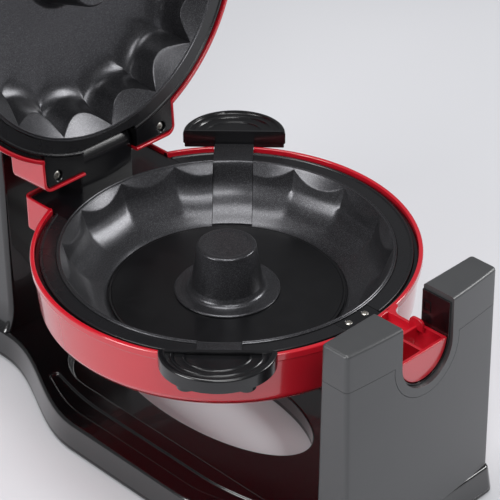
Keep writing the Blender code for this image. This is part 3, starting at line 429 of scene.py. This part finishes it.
def levels(low, high, top=0, bottom=0, steps=4):
    """Insets and heights of a block whose lower and upper edges are rounded."""
    result = []
    for i in range(steps + 1 if bottom else 1):
        bend = math.radians(90) * i / steps
        result.append((bottom * (1 - math.sin(bend)), low + bottom * (1 - math.cos(bend))))
    for i in range(steps + 1 if top else 1):
        bend = math.radians(90) * i / steps
        result.append((top * (1 - math.cos(bend)), high - top * (1 - math.sin(bend))))
    return result


def loft(outline, steps, along="Z"):
    """A block through insets of one outline: (x, y) along Z, (x, z) along Y, (y, z) along X."""
    rings = []
    for inset, level in steps:
        moved = offset(outline, inset)
        rings.append([{"Z": (a, b, level), "Y": (a, level, b), "X": (level, a, b)}[along]
                      for a, b in moved])
    return skin(rings, ends=True)


def slab(x0, x1, y0, y1, z0, z1):
    """A box for cutting."""
    return loft([(x0, y0), (x1, y0), (x1, y1), (x0, y1)], [(0, z0), (0, z1)])


def changed(mesh, kind, **settings):
    """The mesh as one modifier leaves it."""
    item = bpy.data.objects.new("work", mesh)
    bpy.context.scene.collection.objects.link(item)
    step = item.modifiers.new("step", kind)
    for key, value in settings.items():
        setattr(step, key, value)
    bpy.context.view_layer.update()
    graph = bpy.context.evaluated_depsgraph_get()
    result = bpy.data.meshes.new_from_object(item.evaluated_get(graph))
    bpy.data.objects.remove(item, do_unlink=True)
    return result


def cut(mesh, *tools, operation="DIFFERENCE"):
    for tool in tools:
        other = bpy.data.objects.new("tool", tool)
        bpy.context.scene.collection.objects.link(other)
        mesh = changed(mesh, "BOOLEAN", operation=operation, solver="EXACT", object=other)
        bpy.data.objects.remove(other, do_unlink=True)
    return mesh


def softened(mesh, width, segments=2, angle=50):
    """The mesh with its sharp edges rounded."""
    return changed(mesh, "BEVEL", width=width, segments=segments, limit_method="ANGLE",
                   angle_limit=math.radians(angle), use_clamp_overlap=True)


def at_tab(mesh, out):
    """Turn a mesh made along +X to the rear (1) or front (-1) tab."""
    mesh.transform(Matrix.Rotation(tab_turn + (0 if out > 0 else math.pi), 4, "Z"))
    return mesh


disc_top = -(lower_flange - 0.6 + lower_depth)
disc_thick = 1.8
disc_edge = floor_radius - 0.6
show("insert_disc", turned([(0, disc_top), (disc_edge - 2.6, disc_top)] + rounded_line(
    [(disc_edge - 2.5, disc_top, 0), (disc_edge - 1.9, disc_top - 0.35, 0.4),
     (disc_edge, disc_top - 0.1, 0.4), (disc_edge, disc_top - disc_thick, 0.4),
     (disc_edge - 2, disc_top - disc_thick, 0)], closed=False)
    + [(0, disc_top - disc_thick)]), disc_finish, at_unit, "unit", ("lifter_disc",))

cone_radius = 22.4
cone_foot = 28.5
collar_radius = 40.6
foot = disc_top + gap
cone_line = [(0, -0.75, 0), (cone_radius - 5, -0.75, 0.6), (cone_radius - 3, -0.45, 1.2),
             (cone_radius, -0.45, 2.4), (cone_foot - 1, foot + 7, 4), (cone_foot + 1.2, foot + 1.9, 5),
             (cone_foot + 7, foot + 1.6, 2), (collar_radius - 1, foot + 1.6, 0.5),
             (collar_radius, foot + 1.0, 0.6), (collar_radius, foot, 0.3),
             (collar_radius - 2, foot, 0)]
show("insert_cone", turned(rounded_line(cone_line, 6, False), 128), coating, at_unit, "unit",
     ("lifter_cone",), 40)

strap_end = 158
for out, name in ((1, "rear"), (-1, "front")):
    face = [(strap_end, -strap_seat), (lip_radius + 2.2, -strap_seat), (lip_radius + 1.0, -1.85),
            (lip_radius + 0.35, -2.3), (lip_radius + 0.05, -3.0)]
    for i in range(25):
        radius, down = wall_point(lower_form, 0.05 + 0.95 * i / 24)
        face.append((radius, -(lower_flange - 0.6) - down))
    under = -strap_seat - strap_thick
    back = [(strap_end, under), (lip_radius + 2.6, under), (lip_radius + 2.2, under),
            (lip_radius + 1.9, -3.6), (lip_radius + strap_thick, -4.2)]
    for i in range(25):
        radius, down = wall_point(lower_form, 0.05 + 0.95 * i / 24, strap_thick)
        back.append((radius, -(lower_flange - 0.6) - down))
    rings = []
    for k in range(13):
        across = strap_width / 2 * (k / 6 - 1)
        rings.append([(math.sqrt(radius ** 2 - across ** 2), across, z)
                      for radius, z in face + back[::-1]])
    band = softened(skin(rings, ends=True), 0.3)
    show("insert_strap_" + name, at_tab(band, out), coating, at_unit, "unit",
         ("lifter_strap_" + name,))

# Finger tabs: moulded black thermoset. A D with a rounded rim, stepped arches on its dished
# top, an inner wall towards the rim of the unit and two round lugs below.
tab_start = 152
tab_depth = 36.5
tab_half = 41.5
tab_top = 10.3
tab_thick = 11.7
tab_wall = 3
tab_wall_drop = 3.4
tab_lug_radius = 7
tab_lug_drop = 3
tab_lug_spread = 20.5
tab_lug_inset = 13.5
satin = Finish("satin_black_plastic", Coat_Weight=0.25, Coat_Roughness=0.15)
mottle = satin.grain(22, 3)
satin.feed(Base_Color=satin.blend(mottle, (0.002, 0.002, 0.0025), (0.004, 0.004, 0.005)),
           Roughness=0.20 + 0.08 * mottle, Normal=satin.rough(satin.grain(1.1), 0.12, 0.03))


def arch(share, inner=0, count=40):
    """A D outline, straight towards the unit, its curve a share of the full tab."""
    points = []
    for i in range(count + 1):
        bend = math.radians(90) - math.pi * i / count
        points.append((tab_start + inner + (tab_depth * share - inner) * abs(math.cos(bend)),
                       tab_half * share * math.sin(bend)))
    return points


for out, name in ((1, "rear"), (-1, "front")):
    low = tab_top - tab_thick
    profile = [(0.965, low, 0), (1, low + 1.0, 0), (1, tab_top - 2.0, 0), (0.992, tab_top - 0.9, 0),
               (0.972, tab_top - 0.2, 0), (0.945, tab_top, 0), (0.905, tab_top, 0),
               (0.885, tab_top - 0.3, 2.2), (0.875, tab_top - 1.1, 2.4), (0.865, tab_top - 1.5, 2.6),
               (0.80, tab_top - 1.9, 2.6), (0.785, tab_top - 1.7, 2.6), (0.775, tab_top - 1.2, 2.6),
               (0.75, tab_top - 1.1, 2.6), (0.735, tab_top - 1.6, 2.6), (0.72, tab_top - 2.3, 2.6),
               (0.60, tab_top - 2.8, 2.6), (0.585, tab_top - 2.6, 2.6), (0.575, tab_top - 2.1, 2.6),
               (0.55, tab_top - 2.0, 2.6), (0.535, tab_top - 2.5, 2.6), (0.52, tab_top - 3.0, 2.6),
               (0.30, tab_top - 3.2, 2.6)]
    rings = []
    for share, z, inner in profile:
        rings.append([(x, y, z) for x, y in arch(share, inner)])
    body = skin(rings, ends=True)
    lugs = [body]
    for y in (-tab_lug_spread, tab_lug_spread):
        lug = turned(rounded_line([(0, low + 4, 0), (tab_lug_radius, low + 4, 0),
                                   (tab_lug_radius, low - tab_lug_drop, 1.2),
                                   (0, low - tab_lug_drop, 0)], 4, False), 40)
        lug.transform(Matrix.Translation((tab_start + tab_depth - tab_lug_inset, y, 0)))
        lugs.append(lug)
    end = tab_half - 1
    wall = loft(rounded_line([(tab_start, -end, 1), (tab_start + tab_wall, -end, 1),
                              (tab_start + tab_wall, end, 1), (tab_start, end, 1)], 3),
                levels(low - tab_wall_drop, low + 2, 0, 0.6))
    lugs.append(wall)
    show("insert_tab_" + name, [at_tab(mesh, out) for mesh in lugs], satin, at_unit, "unit",
         ("lifter_tab_" + name,), 40)

# Rings of the lower half: a satin grey aluminium flange with a raised bead outside, and a
# black seal sunk between it and the red rim. Both stop at the hinge, and the flange is
# notched for the straps and sunk for the plate at the handle.
flange_inner = 128.3
flange_outer = 140.5
trim_inner = 140.8
trim_outer = 143.9
rim_inner = 144.2
rim_radius = 147.7
lug_half = 63
lug_back = 164.2
shell_wall = 2.6

anodised = Finish("flange_grey", Metallic=0.2, Coat_Weight=0.2, Coat_Roughness=0.2)
brushed = anodised.grain(1.2, 3)
anodised.feed(Base_Color=anodised.blend(brushed, (0.007, 0.007, 0.008), (0.012, 0.012, 0.0135)),
              Roughness=0.24 + 0.08 * anodised.grain(16),
              Normal=anodised.rough(anodised.grain(0.4), 0.15, 0.03))


def strap_gap(out):
    half = strap_width / 2 + gap
    return at_tab(slab(lip_radius, rim_radius + 8, -half, half, -3.6, 8), out)


def flange(drop, out):
    profile = [(flange_inner, drop + 0.3, 0), (flange_inner + 0.1, drop, 0.6),
               (flange_outer - 2.2, drop, 0.3), (flange_outer - 1.6, drop - 0.9, 0.5),
               (flange_outer, drop - 0.9, 0.7), (flange_outer, drop + 2.0, 0),
               (flange_inner, drop + 2.0, 0)]
    return turned([(r, out * d) for r, d in rounded_line(profile, 4)])


def seal(drop, out):
    profile = [(trim_inner, drop + 1.5, 0.3), (trim_outer, drop + 1.5, 0.6),
               (trim_outer, drop + 5.7, 0), (trim_inner, drop + 5.7, 0)]
    return turned([(r, out * d) for r, d in rounded_line(profile, 4)])


behind = slab(-lug_half + shell_wall, lug_half - shell_wall, 60, 170, -60, 20)
ring = cut(flange(lower_flange, -1), behind, strap_gap(1), strap_gap(-1),
           slab(-17.3, 17.3, -150, -60, -4.3, 8))
show("lower_flange", ring, anodised, at_unit, "unit", ("lower_flange_ring",))
behind = slab(-lug_half + shell_wall, lug_half - shell_wall, 60, 170, -60, 20)
show("lower_seal", cut(seal(lower_flange, -1), behind), satin, at_unit, "unit",
     ("lower_trim_ring",))

# Plate at the handle: a black stamped segment flush in the flange, held by two small
# cross-recess screws with pale zinc heads.
steel = Finish("zinc_steel", Metallic=1.0)
scratch = steel.grain(2, 4)
steel.feed(Base_Color=steel.blend(scratch, (0.42, 0.40, 0.36), (0.66, 0.64, 0.60)),
           Roughness=0.22 + 0.2 * scratch, Normal=steel.rough(scratch, 0.2, 0.02))
bridge_half = 17
screw_radius = 2.8
bridge_spots = [(-8.4, -133.4), (8.4, -133.4)]
rim_arc = [(flange_inner + 0.1, -1), (trim_outer - 0.1, 1)]
outline = []
for radius, way in rim_arc:
    reach = math.asin(bridge_half / radius)
    for i in range(13):
        bend = way * reach * (i / 6 - 1)
        outline.append((radius * math.sin(bend), -radius * math.cos(bend)))
plate = loft(outline, levels(-4.0, -lower_flange, 0.35))
sink_radius = 3.1
for x, y in bridge_spots:
    circle = [(x + sink_radius * math.cos(math.tau * k / 32),
               y + sink_radius * math.sin(math.tau * k / 32)) for k in range(32)]
    plate = cut(plate, loft(circle, [(0.7, -3.5), (0, -2.85), (-0.3, -2.5)]))
show("handle_plate", plate, satin, at_unit, "unit", ("handle_bridge_plate",))


def screw_head(radius, height):
    """A domed head with a cross recess, its seat at z = 0."""
    head = turned(rounded_line([(0, height, 0), (radius * 0.7, height * 0.85, 1.5),
                                (radius, height * 0.35, 0.5), (radius, 0, 0), (0, 0, 0)], 4, False), 40)
    for half_x, half_y in ((radius * 0.55, radius * 0.13), (radius * 0.13, radius * 0.55)):
        head = cut(head, loft([(-half_x, -half_y), (half_x, -half_y), (half_x, half_y),
                               (-half_x, half_y)], [(radius * 0.08, height * 0.3), (0, height * 1.2)]))
    return head


for (x, y), name in zip(bridge_spots, ("left", "right")):
    head = screw_head(screw_radius, 1.0)
    head.transform(Matrix.Translation((x, y, -3.3)) @ Matrix.Rotation(0.6 + x / 20, 4, "Z"))
    show("handle_screw_" + name, head, steel, at_unit, "unit",
         ("handle_bridge_screw_" + name,))

# Lower shell: glossy red moulding. A deep bowl with a rounded rim band, the hinge lug behind,
# and a trumpet neck that ends in the open lower half of the grip, with a catch on each side.
red = Finish("red_gloss_plastic", Coat_Weight=1.0, Coat_Roughness=0.05)
wave = red.grain(40, 2)
red.feed(Base_Color=red.blend(wave, (0.44, 0.005, 0.014), (0.48, 0.007, 0.018)),
         Roughness=0.22 + 0.05 * red.grain(5), Normal=red.rough(red.grain(14, 1), 0.05, 0.04))
hinge_spot = Vector(joints["lid_hinge"]["pos_m"])
hinge_y, hinge_z = ((hinge_spot - axis_spot) / mm).yz
shell_depth = 56
neck_radius = 21.2
neck_wall = 2.5
neck_end = 171
grip_radius = 24.5
grip_wall = 2.7
grip_end = 197.2
flare = 9
catch_inner = neck_radius - 2.8
catch_front = -179.4
catch_back = -166.5
catch_rise = 6.5
catch_corner = 4.5


def bowl(out, seat):
    outer = [(rim_inner, seat, 0), (rim_inner, 0.3, 0.9), (rim_radius, 0.3, 1.5),
             (rim_radius, 6.0, 0.8), (146.2, 6.9, 1.6), (142.9, 40.6, 9), (138.2, 46.6, 7),
             (113.7, shell_depth, 30), (0, shell_depth, 0)]
    inner = [(0, shell_depth - 2.6, 0), (112, shell_depth - 2.6, 25), (136, 44.8, 6),
             (140.2, 40, 6), (141.5, seat, 0)]
    profile = rounded_line(outer, 7, False)[::-1]
    hollow = rounded_line(inner, 5, False)[::-1]
    rings = [[(r * math.cos(math.tau * k / 256), r * math.sin(math.tau * k / 256), out * d)
              for k in range(256)] for r, d in profile + hollow]
    return skin(rings)


def lug(half, back, depth, corner, out):
    """An open tray behind the rim: the outline's wall stands up to the parting plane."""
    outline = rounded_line([(half, 126, 0), (half, back, corner), (-half, back, corner),
                            (-half, 126, 0)], 6)
    steps = levels(-depth, -0.3, 0.9, 2.5)
    steps += [(shell_wall - 0.9, -0.3), (shell_wall - 0.3, -0.6), (shell_wall, -1.2),
              (shell_wall, -depth + shell_wall)]
    tray = loft(outline, steps)
    tray = cut(tray, turned([(0, 10), (143.9, 10), (143.9, -90), (0, -90)], 128))
    if out > 0:
        tray.transform(Matrix.Diagonal((1, 1, -1, 1)))
        tray.flip_normals()
    return tray


def half_round(radius, start=0.3, count=32):
    return [(radius * math.cos(math.pi * i / count),
             -max(radius * math.sin(math.pi * i / count), start)) for i in range(count + 1)]


def handle(out):
    """Neck and grip of one half, made below the parting plane."""
    rings = []
    for i in range(17):
        y = -143.6 - (neck_end + 0.6 - 143.6) * i / 16
        spread = max(1 - (-y - 147.0) / flare, 0)
        radius = neck_radius + flare * (1 - math.sqrt(max(1 - spread ** 2, 0)))
        outer = half_round(radius)
        inner = half_round(neck_radius - neck_wall)[::-1]
        rings.append([(x, y, z) for x, z in outer + inner])
    neck = softened(skin(rings, ends=True), 0.5)
    grip = loft(half_round(grip_radius), levels(-grip_end, -neck_end, 1.0, 1.0), "Y")
    hollow = grip_radius - grip_wall
    for way in (-1, 1):
        pocket = [(x, z) for x, z in half_round(hollow, -2) if way * x > 1.2]
        pocket = [(way * 1.2, 3), (way * 1.2, -hollow)] + sorted(pocket, key=lambda p: way * p[0])
        pocket.append((way * hollow, 3))
        grip = cut(grip, loft(pocket, [(0.6, -grip_end + grip_wall), (0, -grip_end + grip_wall + 0.6),
                                       (0, -neck_end - grip_wall - 0.6),
                                       (0.6, -neck_end - grip_wall)], "Y"))
    grip = softened(grip, 0.45)
    pieces = [neck, grip]
    if out < 0:
        catch = rounded_line([(catch_front, -3, 0), (catch_front, catch_rise, catch_corner),
                              (catch_back, catch_rise, catch_corner), (catch_back, -3, 0)], 6)
        for way in (-1, 1):
            low, high = sorted((way * catch_inner, way * (neck_radius - 0.3)))
            pieces.append(loft(catch, levels(low, high, 0.5, 0.5, 2), "X"))
    else:
        inside = catch_inner - gap
        room = [slab(min(way * inside, way * neck_radius), max(way * inside, way * neck_radius),
                     catch_front - gap, catch_back + gap, -catch_rise - gap, 1)
                for way in (-1, 1)]
        pieces = [cut(mesh, *room) for mesh in pieces]
        for mesh in pieces:
            mesh.transform(Matrix.Diagonal((1, 1, -1, 1)))
            mesh.flip_normals()
    return pieces


lower_bowl = cut(bowl(-1, lower_flange + 6.0),
                 slab(-lug_half + shell_wall, lug_half - shell_wall, 110, 170, -27.4, 10),
                 strap_gap(1), strap_gap(-1))
lower_lug = cut(lug(lug_half, lug_back, 30, 7, -1), slab(-26.8, 26.8, hinge_y, 180, -16.5, 10))
show("lower_shell_moulding", [softened(lower_bowl, 0.35), softened(lower_lug, 0.4)] + handle(-1), red,
     at_unit, "unit", ("lower_shell",))

# Hinge arm: a black moulded bracket in the lug. Its deck lies flush behind the flange and its
# upright carries the hinge barrel; a steel pin runs through it.
barrel_radius = 15.5
arm_half = 26.5
front = hinge_y - barrel_radius
upright = [(front, -5.0, 0), (front, hinge_z - 1, 0)]
for i in range(1, 24):
    bend = math.pi * (1 - i / 24)
    upright.append((hinge_y + barrel_radius * math.cos(bend),
                    hinge_z + barrel_radius * math.sin(bend), 0))
upright += [(hinge_y + barrel_radius, hinge_z - 1, 0), (hinge_y + barrel_radius, -16, 2),
            (hinge_y + 0.3, -16, 1), (hinge_y + 0.3, -5, 0)]
arm = loft([(y, z) for y, z in rounded_line(upright, 4)], levels(-arm_half, arm_half, 1.0, 1.0), "X")
inner = [(flange_inner * math.sin(a), flange_inner * math.cos(a))
         for a in [math.radians(-28 + 56 * i / 28) for i in range(29)]]
deck_half = lug_half - shell_wall - gap
deck_line = [(x, y, 0) for x, y in inner]
deck_line += [(deck_half, 126, 0), (deck_half, lug_back - shell_wall - gap, 6),
              (-deck_half, lug_back - shell_wall - gap, 6), (-deck_half, 126, 0)]
deck = loft(rounded_line(deck_line, 5), levels(-5.4, -lower_flange, 0.4))
show("hinge_bracket", [arm, deck], satin, at_unit, "unit", ("lower_hinge_arm",))

# Lid shell: the same glossy red moulding as the lower half, with a deep hinge housing behind
# and the upper half of the grip in front, slotted for the catches. Lid pieces are made closed,
# and their place tips them back about the hinge line.
open_angle = math.radians(joints["lid_hinge"]["range_deg"][1])
at_lid = (Matrix.Translation(hinge_spot) @ Matrix.Rotation(-open_angle, 4, "X")
          @ Matrix.Translation(axis_spot - hinge_spot))
lid_flange = 1.2
housing_half = 68
housing_back = 157
housing_depth = 40.5
barrel_slot_half = arm_half + 2 * gap
barrel_room = barrel_radius + 2 * gap
lid_bowl = cut(bowl(1, lid_flange + 6.0),
               slab(-housing_half + shell_wall, housing_half - shell_wall, 110, 160, -10, 37.9))
housing = lug(housing_half, housing_back, housing_depth, 8, 1)
housing = cut(housing, slab(-barrel_slot_half, barrel_slot_half, hinge_y - barrel_room, 190, -10,
                            hinge_z + barrel_room))
show("lid_shell_moulding", [softened(lid_bowl, 0.35), softened(housing, 0.4)] + handle(1), red,
     at_lid, "lid", ("lid_shell",))

# Lid mould: a second deep-drawn pan of coated aluminium. It is drawn as a dome, so its lobes are
# longer, start under large half-moon facets and run in to the cone at its centre.
lid_form = {"depth": 42, "flange": lid_flange, "floor": 46, "inset": 14.6, "drop": 11.6,
            "twist": math.radians(-1.65),
            "down": (0, 0.25, 0.50, 0.70, 0.82, 0.92, 0.97, 1),
            "inward": (0, 0.02, 0.06, 0.12, 0.20, 0.37, 0.56, 1),
            "pillow_down": (0, 0.30, 0.50, 0.70, 0.85, 0.95, 1),
            "pillow_high": (12.6, 12.4, 11.0, 8.6, 5.6, 2.4, 0)}
rings = fluted_pan(lid_form, 1, False)
foot = rings[-1][0][2]
inner = [(r, z) for r, z in rounded_line(
    [(45, foot + 0.2, 0), (cone_foot + 2.4, foot + 0.4, 6), (cone_radius, 0.6, 2.6), (0.4, 0.6, 0)],
    6, False)]
more_rings(rings, inner + [(0.4, 3), (cone_radius - 3, 3), (cone_foot - 2, foot + 2.7),
                           (91, foot + 2.7), (101, 41), (115, 32), (124, 22), (127.5, 12),
                           (128, 3.6)])
rings.append(rings[0])
show("lid_mould_pan", skin(rings), coating, at_lid, "lid", ("lid_mould",), 24)

# Rings of the lid: the same grey flange and black seal as below, cut back where the hinge
# housing opens and where the barrel stands between its blocks.
ring = cut(flange(lid_flange, 1),
           slab(-barrel_slot_half, barrel_slot_half, hinge_y - barrel_room, 170, -10, 20))
show("lid_flange", ring, anodised, at_lid, "lid", ("lid_flange_ring",))
behind = slab(-housing_half + shell_wall, housing_half - shell_wall, 60, 170, -10, 60)
show("lid_seal", cut(seal(lid_flange, 1), behind), satin, at_lid, "lid",
     ("lid_trim_ring",))

# Hinge blocks: black mouldings that fill the housing either side of the barrel, each held by
# one screw in a round counterbore.
block_inner = barrel_slot_half + gap
block_screw_x = 53.5
block_screw_y = 146
for way, name in ((-1, "left"), (1, "right")):
    half = housing_half - shell_wall - gap
    back = housing_back - shell_wall - gap
    line = rounded_line([(way * block_inner, 120, 0), (way * half, 120, 0), (way * half, back, 7),
                         (way * block_inner, back, 0)], 6)
    block = loft(line, levels(0.6, 37.6, 0, 0))
    block = cut(block, turned([(0, -10), (trim_inner, -10), (trim_inner, 60), (0, 60)], 160),
                loft([(housing_back - 6, 0.4), (housing_back + 5, 0.4), (housing_back + 5, 7)],
                     [(0, -90), (0, 90)], "X"))
    bore = turned([(0, -2), (5.0, -2), (5.0, 0.55), (4.4, 1.1), (4.4, 3.4), (0, 3.4)], 40)
    bore.transform(Matrix.Translation((way * block_screw_x, block_screw_y, 0)))
    block = softened(cut(block, bore), 0.5)
    show("hinge_block_" + name, block, satin, at_lid, "lid",
         ("lid_hinge_block_" + name,))
    head = screw_head(3.3, 1.5)
    head.transform(Matrix.Translation((way * block_screw_x, block_screw_y, 3.3))
                   @ Matrix.Rotation(math.pi, 4, "X"))
    show("hinge_screw_" + name, head, steel, at_lid, "lid", ("lid_hinge_screw_" + name,))

# Base: a glossy black moulding. Its rails lean in, swell to the sides and draw in to the
# column and the post; a sunk deck carries the oval opening, and a channel runs along each rail.
# Pieces of the stand have z = 0 on the floor.
at_stand = Matrix.Translation((0, axis_spot.y, 0))
axis_height = axis_spot.z / mm
base_top = 25
base_deck = 17.5
column_half = 63
column_front = 189.7
column_back = 237.7
post_half = 78
post_front = 200.7
post_back = 172
post_top = axis_height + 33
base_front = post_front + 4
base_back = column_back + 10.5
base_half = 115.2
stand_seat = base_top + gap
opening_half = 43
opening_reach = 104
opening_middle = 20
opening_round = 1.8
channel_drop = 2.2
gloss = Finish("gloss_black_plastic", Coat_Weight=1.0, Coat_Roughness=0.04)
gloss.feed(Base_Color=gloss.blend(gloss.grain(30, 3), (0.0015, 0.0015, 0.002), (0.003, 0.003, 0.0035)),
           Roughness=0.20 + 0.06 * gloss.grain(5), Normal=gloss.rough(gloss.grain(16, 1), 0.05, 0.04))


def waist(y):
    """Half width of the base: wide in the middle, drawn in to the column and the post."""
    if y > 0:
        share = min(max((column_front - y) / 130, 0), 1)
        end = column_half + 10.5
    else:
        share = min(max((y + post_back) / 115, 0), 1)
        end = post_half + 4
    return end + (base_half - end) * share * share * (3 - 2 * share)


def base_outline(count=72):
    right = []
    for i in range(count + 1):
        middle = (base_back - base_front) / 2
        y = middle + (base_back + base_front) / 2 * math.cos(math.pi * i / count)
        near = min(base_back - y, y + base_front)
        draw = 8 - math.sqrt(max(64 - max(8 - near, 0) ** 2, 0))
        right.append((waist(y) - draw, y))
    return right + [(-x, y) for x, y in reversed(right)]


def sunk(outline, low, high, bottom, top):
    """A cutter for a recess with a filleted floor and rounded upper edges."""
    steps = [(bottom * (1 - math.sin(math.radians(90) * i / 4)),
              low + bottom * (1 - math.cos(math.radians(90) * i / 4))) for i in range(5)]
    steps += [(-top * (1 - math.cos(math.radians(90) * i / 4)),
               high - top * (1 - math.sin(math.radians(90) * i / 4))) for i in range(5)]
    return loft(outline, steps + [(-top, high + 2)])


def oval(half_x, half_y, middle, count=96):
    return [(half_x * math.cos(math.tau * i / count), middle + half_y * math.sin(math.tau * i / count))
            for i in range(count)]


def channel(way):
    """Outline of the long shallow channel in one rail's top."""
    inner = []
    outer = []
    for i in range(33):
        y = 121 - (121 + 110) * i / 32
        edge = 0.49 * waist(y) + 27.1
        inner.append((way * edge, y))
        outer.append((way * max(waist(y) - 17.5 + 3.5 * max((y - 60) / 61, 0), edge + 6), y))
    line = [(x, y, 0) for x, y in inner + outer[::-1]]
    for k in (0, 32, 33, 65):
        line[k] = (*line[k][:2], 4)
    return rounded_line(line, 6)


housing = loft(base_outline(), [(0, 5.3), (0.1, 5.6), (2.6, 21.4), (2.9, 22.9), (3.5, 24.1),
                                (4.6, 24.8), (6.0, 25.0)])
recess = rounded_line([(70, -160, 52), (70, 143.7, 52), (-70, 143.7, 52), (-70, -160, 52)], 16)
housing = cut(housing, sunk(recess, base_deck, base_top, 3.5, 1.5))
opening = oval(opening_half, opening_reach, opening_middle)
mouth = oval(opening_half + opening_round, opening_reach + opening_round, opening_middle)
under = sunk(opening, -2, base_deck, 0.5, opening_round)
over = loft(mouth, [(0, base_deck + 1), (0, 40)])
channels = [sunk(channel(way), base_top - channel_drop, base_top, 1.2, 0.8) for way in (-1, 1)]
housing = cut(housing, under, over, *channels)
show("base_moulding", housing, gloss, at_stand, "stand", ("base_housing",), 40)
cover = cut(loft(base_outline(), levels(2, 5, 0.5, 0.8)), loft(opening, [(0, 0), (0, 9)]))
show("base_cover", cover, satin, at_stand, "stand", ("base_bottom_cover",))

# Rear column: a glossy black box section with rounded corners. Its foot spreads into the rails,
# and a bore near its top holds the bush of the turning unit.
column_foot = 26
bush_radius = 15.6
bush_start = 174
bush_end = 204


def column_ring(z, inset=0):
    spread = 7.5 * max(1 - (z - stand_seat) / column_foot, 0) ** 2.4
    half = column_half + spread - inset
    line = [(half, column_front + inset, 5), (half, column_back - inset, 5),
            (-half, column_back - inset, 5), (-half, column_front + inset, 5)]
    return [(x, y, z) for x, y in rounded_line(line, 6)]


rows = [column_ring(stand_seat + column_foot * (i / 12) ** 1.5) for i in range(13)]
rows += [column_ring(post_top - 5 * (1 - math.sin(math.radians(90) * i / 5)),
                     5 * (1 - math.cos(math.radians(90) * i / 5))) for i in range(6)]
bore = turned([(0, bush_start), (bush_radius, bush_start), (bush_radius, bush_end),
               (0, bush_end)], 64)
bore.transform(Matrix.Translation((0, 0, axis_height)) @ Matrix.Rotation(-math.pi / 2, 4, "X"))
column = cut(skin(rows, ends=True), bore)
show("rear_column_moulding", column, gloss, at_stand, "stand", ("rear_column",))

# Front post: satin black moulding in two shells that meet on a fine seam. The cap is a saddle
# with a band round the U slot, and the grip turns in a black liner set in the slot.
post_finish = Finish("post_black_plastic", Coat_Weight=0.3, Coat_Roughness=0.3)
mottle = post_finish.grain(30, 3)
post_finish.feed(Base_Color=post_finish.blend(mottle, (0.040, 0.041, 0.043), (0.050, 0.051, 0.053)),
                 Roughness=0.34 + 0.08 * mottle,
                 Normal=post_finish.rough(post_finish.grain(0.7), 0.18, 0.03))
seam = axis_height + 3
slot_radius = 26.5
slot_band = 7
through = [(0, -230), (0, -150)]


def post_block():
    front = []
    for i in range(25):
        share = 1 - i / 12
        front.append((post_half * share, -post_front + 5 * share ** 2, 0))
    line = front + [(-post_half, -post_back, 3.2), (post_half, -post_back, 3.2)]
    line[0] = (*line[0][:2], 3.6)
    line[24] = (*line[24][:2], 3.6)
    block = loft(rounded_line(line, 5), levels(stand_seat, post_top, 2.5, 0, 5))
    middle = -(post_front + post_back) / 2
    for vert in block.vertices:
        lean_out = (post_top - vert.co.z) * math.tan(math.radians(1))
        vert.co.y += lean_out if vert.co.y > middle else -lean_out
    return block


def round_tool(radius):
    circle = [(radius * math.cos(math.tau * i / 96),
               axis_height + radius * math.sin(math.tau * i / 96)) for i in range(96)]
    return loft(circle, through, "Y")


def slot_outline(radius, top):
    line = [(radius * math.cos(math.pi * i / 40), axis_height - radius * math.sin(math.pi * i / 40))
            for i in range(41)]
    return [(radius, top)] + line + [(-radius, top)]


band = slot_radius + slot_band
line = [(90, seam)]
dip = math.asin((seam - axis_height) / band)
for i in range(41):
    bend = dip - (math.pi + 2 * dip) * i / 40
    line.append((band * math.cos(bend), axis_height + band * math.sin(bend)))
line += [(-90, seam), (-90, post_top + 10)] + slot_outline(slot_radius, post_top + 10)[::-1]
saddle = loft(line + [(90, post_top + 10)], through, "Y")
cap = cut(post_block(), saddle, operation="INTERSECT")
show("post_cap", softened(cap, 0.7, 3), post_finish, at_stand, "stand",
     ("front_post_cap",))
body = cut(post_block(), slab(-90, 90, -220, -160, seam - gap, 300),
           round_tool(slot_radius + slot_band + gap))
show("post_body", softened(body, 0.45), post_finish, at_stand, "stand",
     ("front_post_body",))
liner = loft(slot_outline(slot_radius - gap, post_top - 4),
             levels(-198, -post_back - gap, 0.5, 0.5), "Y")
liner = cut(liner, loft(slot_outline(grip_radius + gap, post_top + 10), through, "Y"))
socket = cut(slab(24.2, 25, -180.5, -173.5, axis_height + 12, axis_height + 20.5),
             slab(23, 26, -179.3, -174.7, axis_height + 13.2, axis_height + 19.3))
show("slot_liner", [softened(liner, 0.4), socket], satin, at_stand, "stand",
     ("front_slot_liner",))

# Pads, cover screws, gland and the pieces inside keep their own solids. Rubber is moulded with
# a dull grain, the reflectors are rolled tinplate, and pins, tubes and screws are zinc steel.
rubber = Finish("foot_rubber")
rubber.feed(Base_Color=rubber.blend(rubber.grain(3, 3), (0.010, 0.010, 0.010), (0.020, 0.020, 0.020)),
            Roughness=0.75 + 0.1 * rubber.grain(1), Normal=rubber.rough(rubber.grain(0.5), 0.2, 0.05))
tin = Finish("tinplate", Metallic=1.0)
tin.feed(Base_Color=tin.blend(tin.grain(6, 4), (0.45, 0.45, 0.46), (0.62, 0.62, 0.63)),
         Roughness=0.28 + 0.15 * tin.grain(6, 4))
for node, item in frame["nodes"].items():
    finish = satin
    if "pad" in node or "gland" in node:
        finish = rubber
    elif "reflector" in node or "thermostat" in node:
        finish = tin
    elif "screw" in node or "heater" in node or "pin" in node:
        finish = steel
    for spot in item.material_slots:
        spot.material = finish.material

bpy.context.view_layer.update()
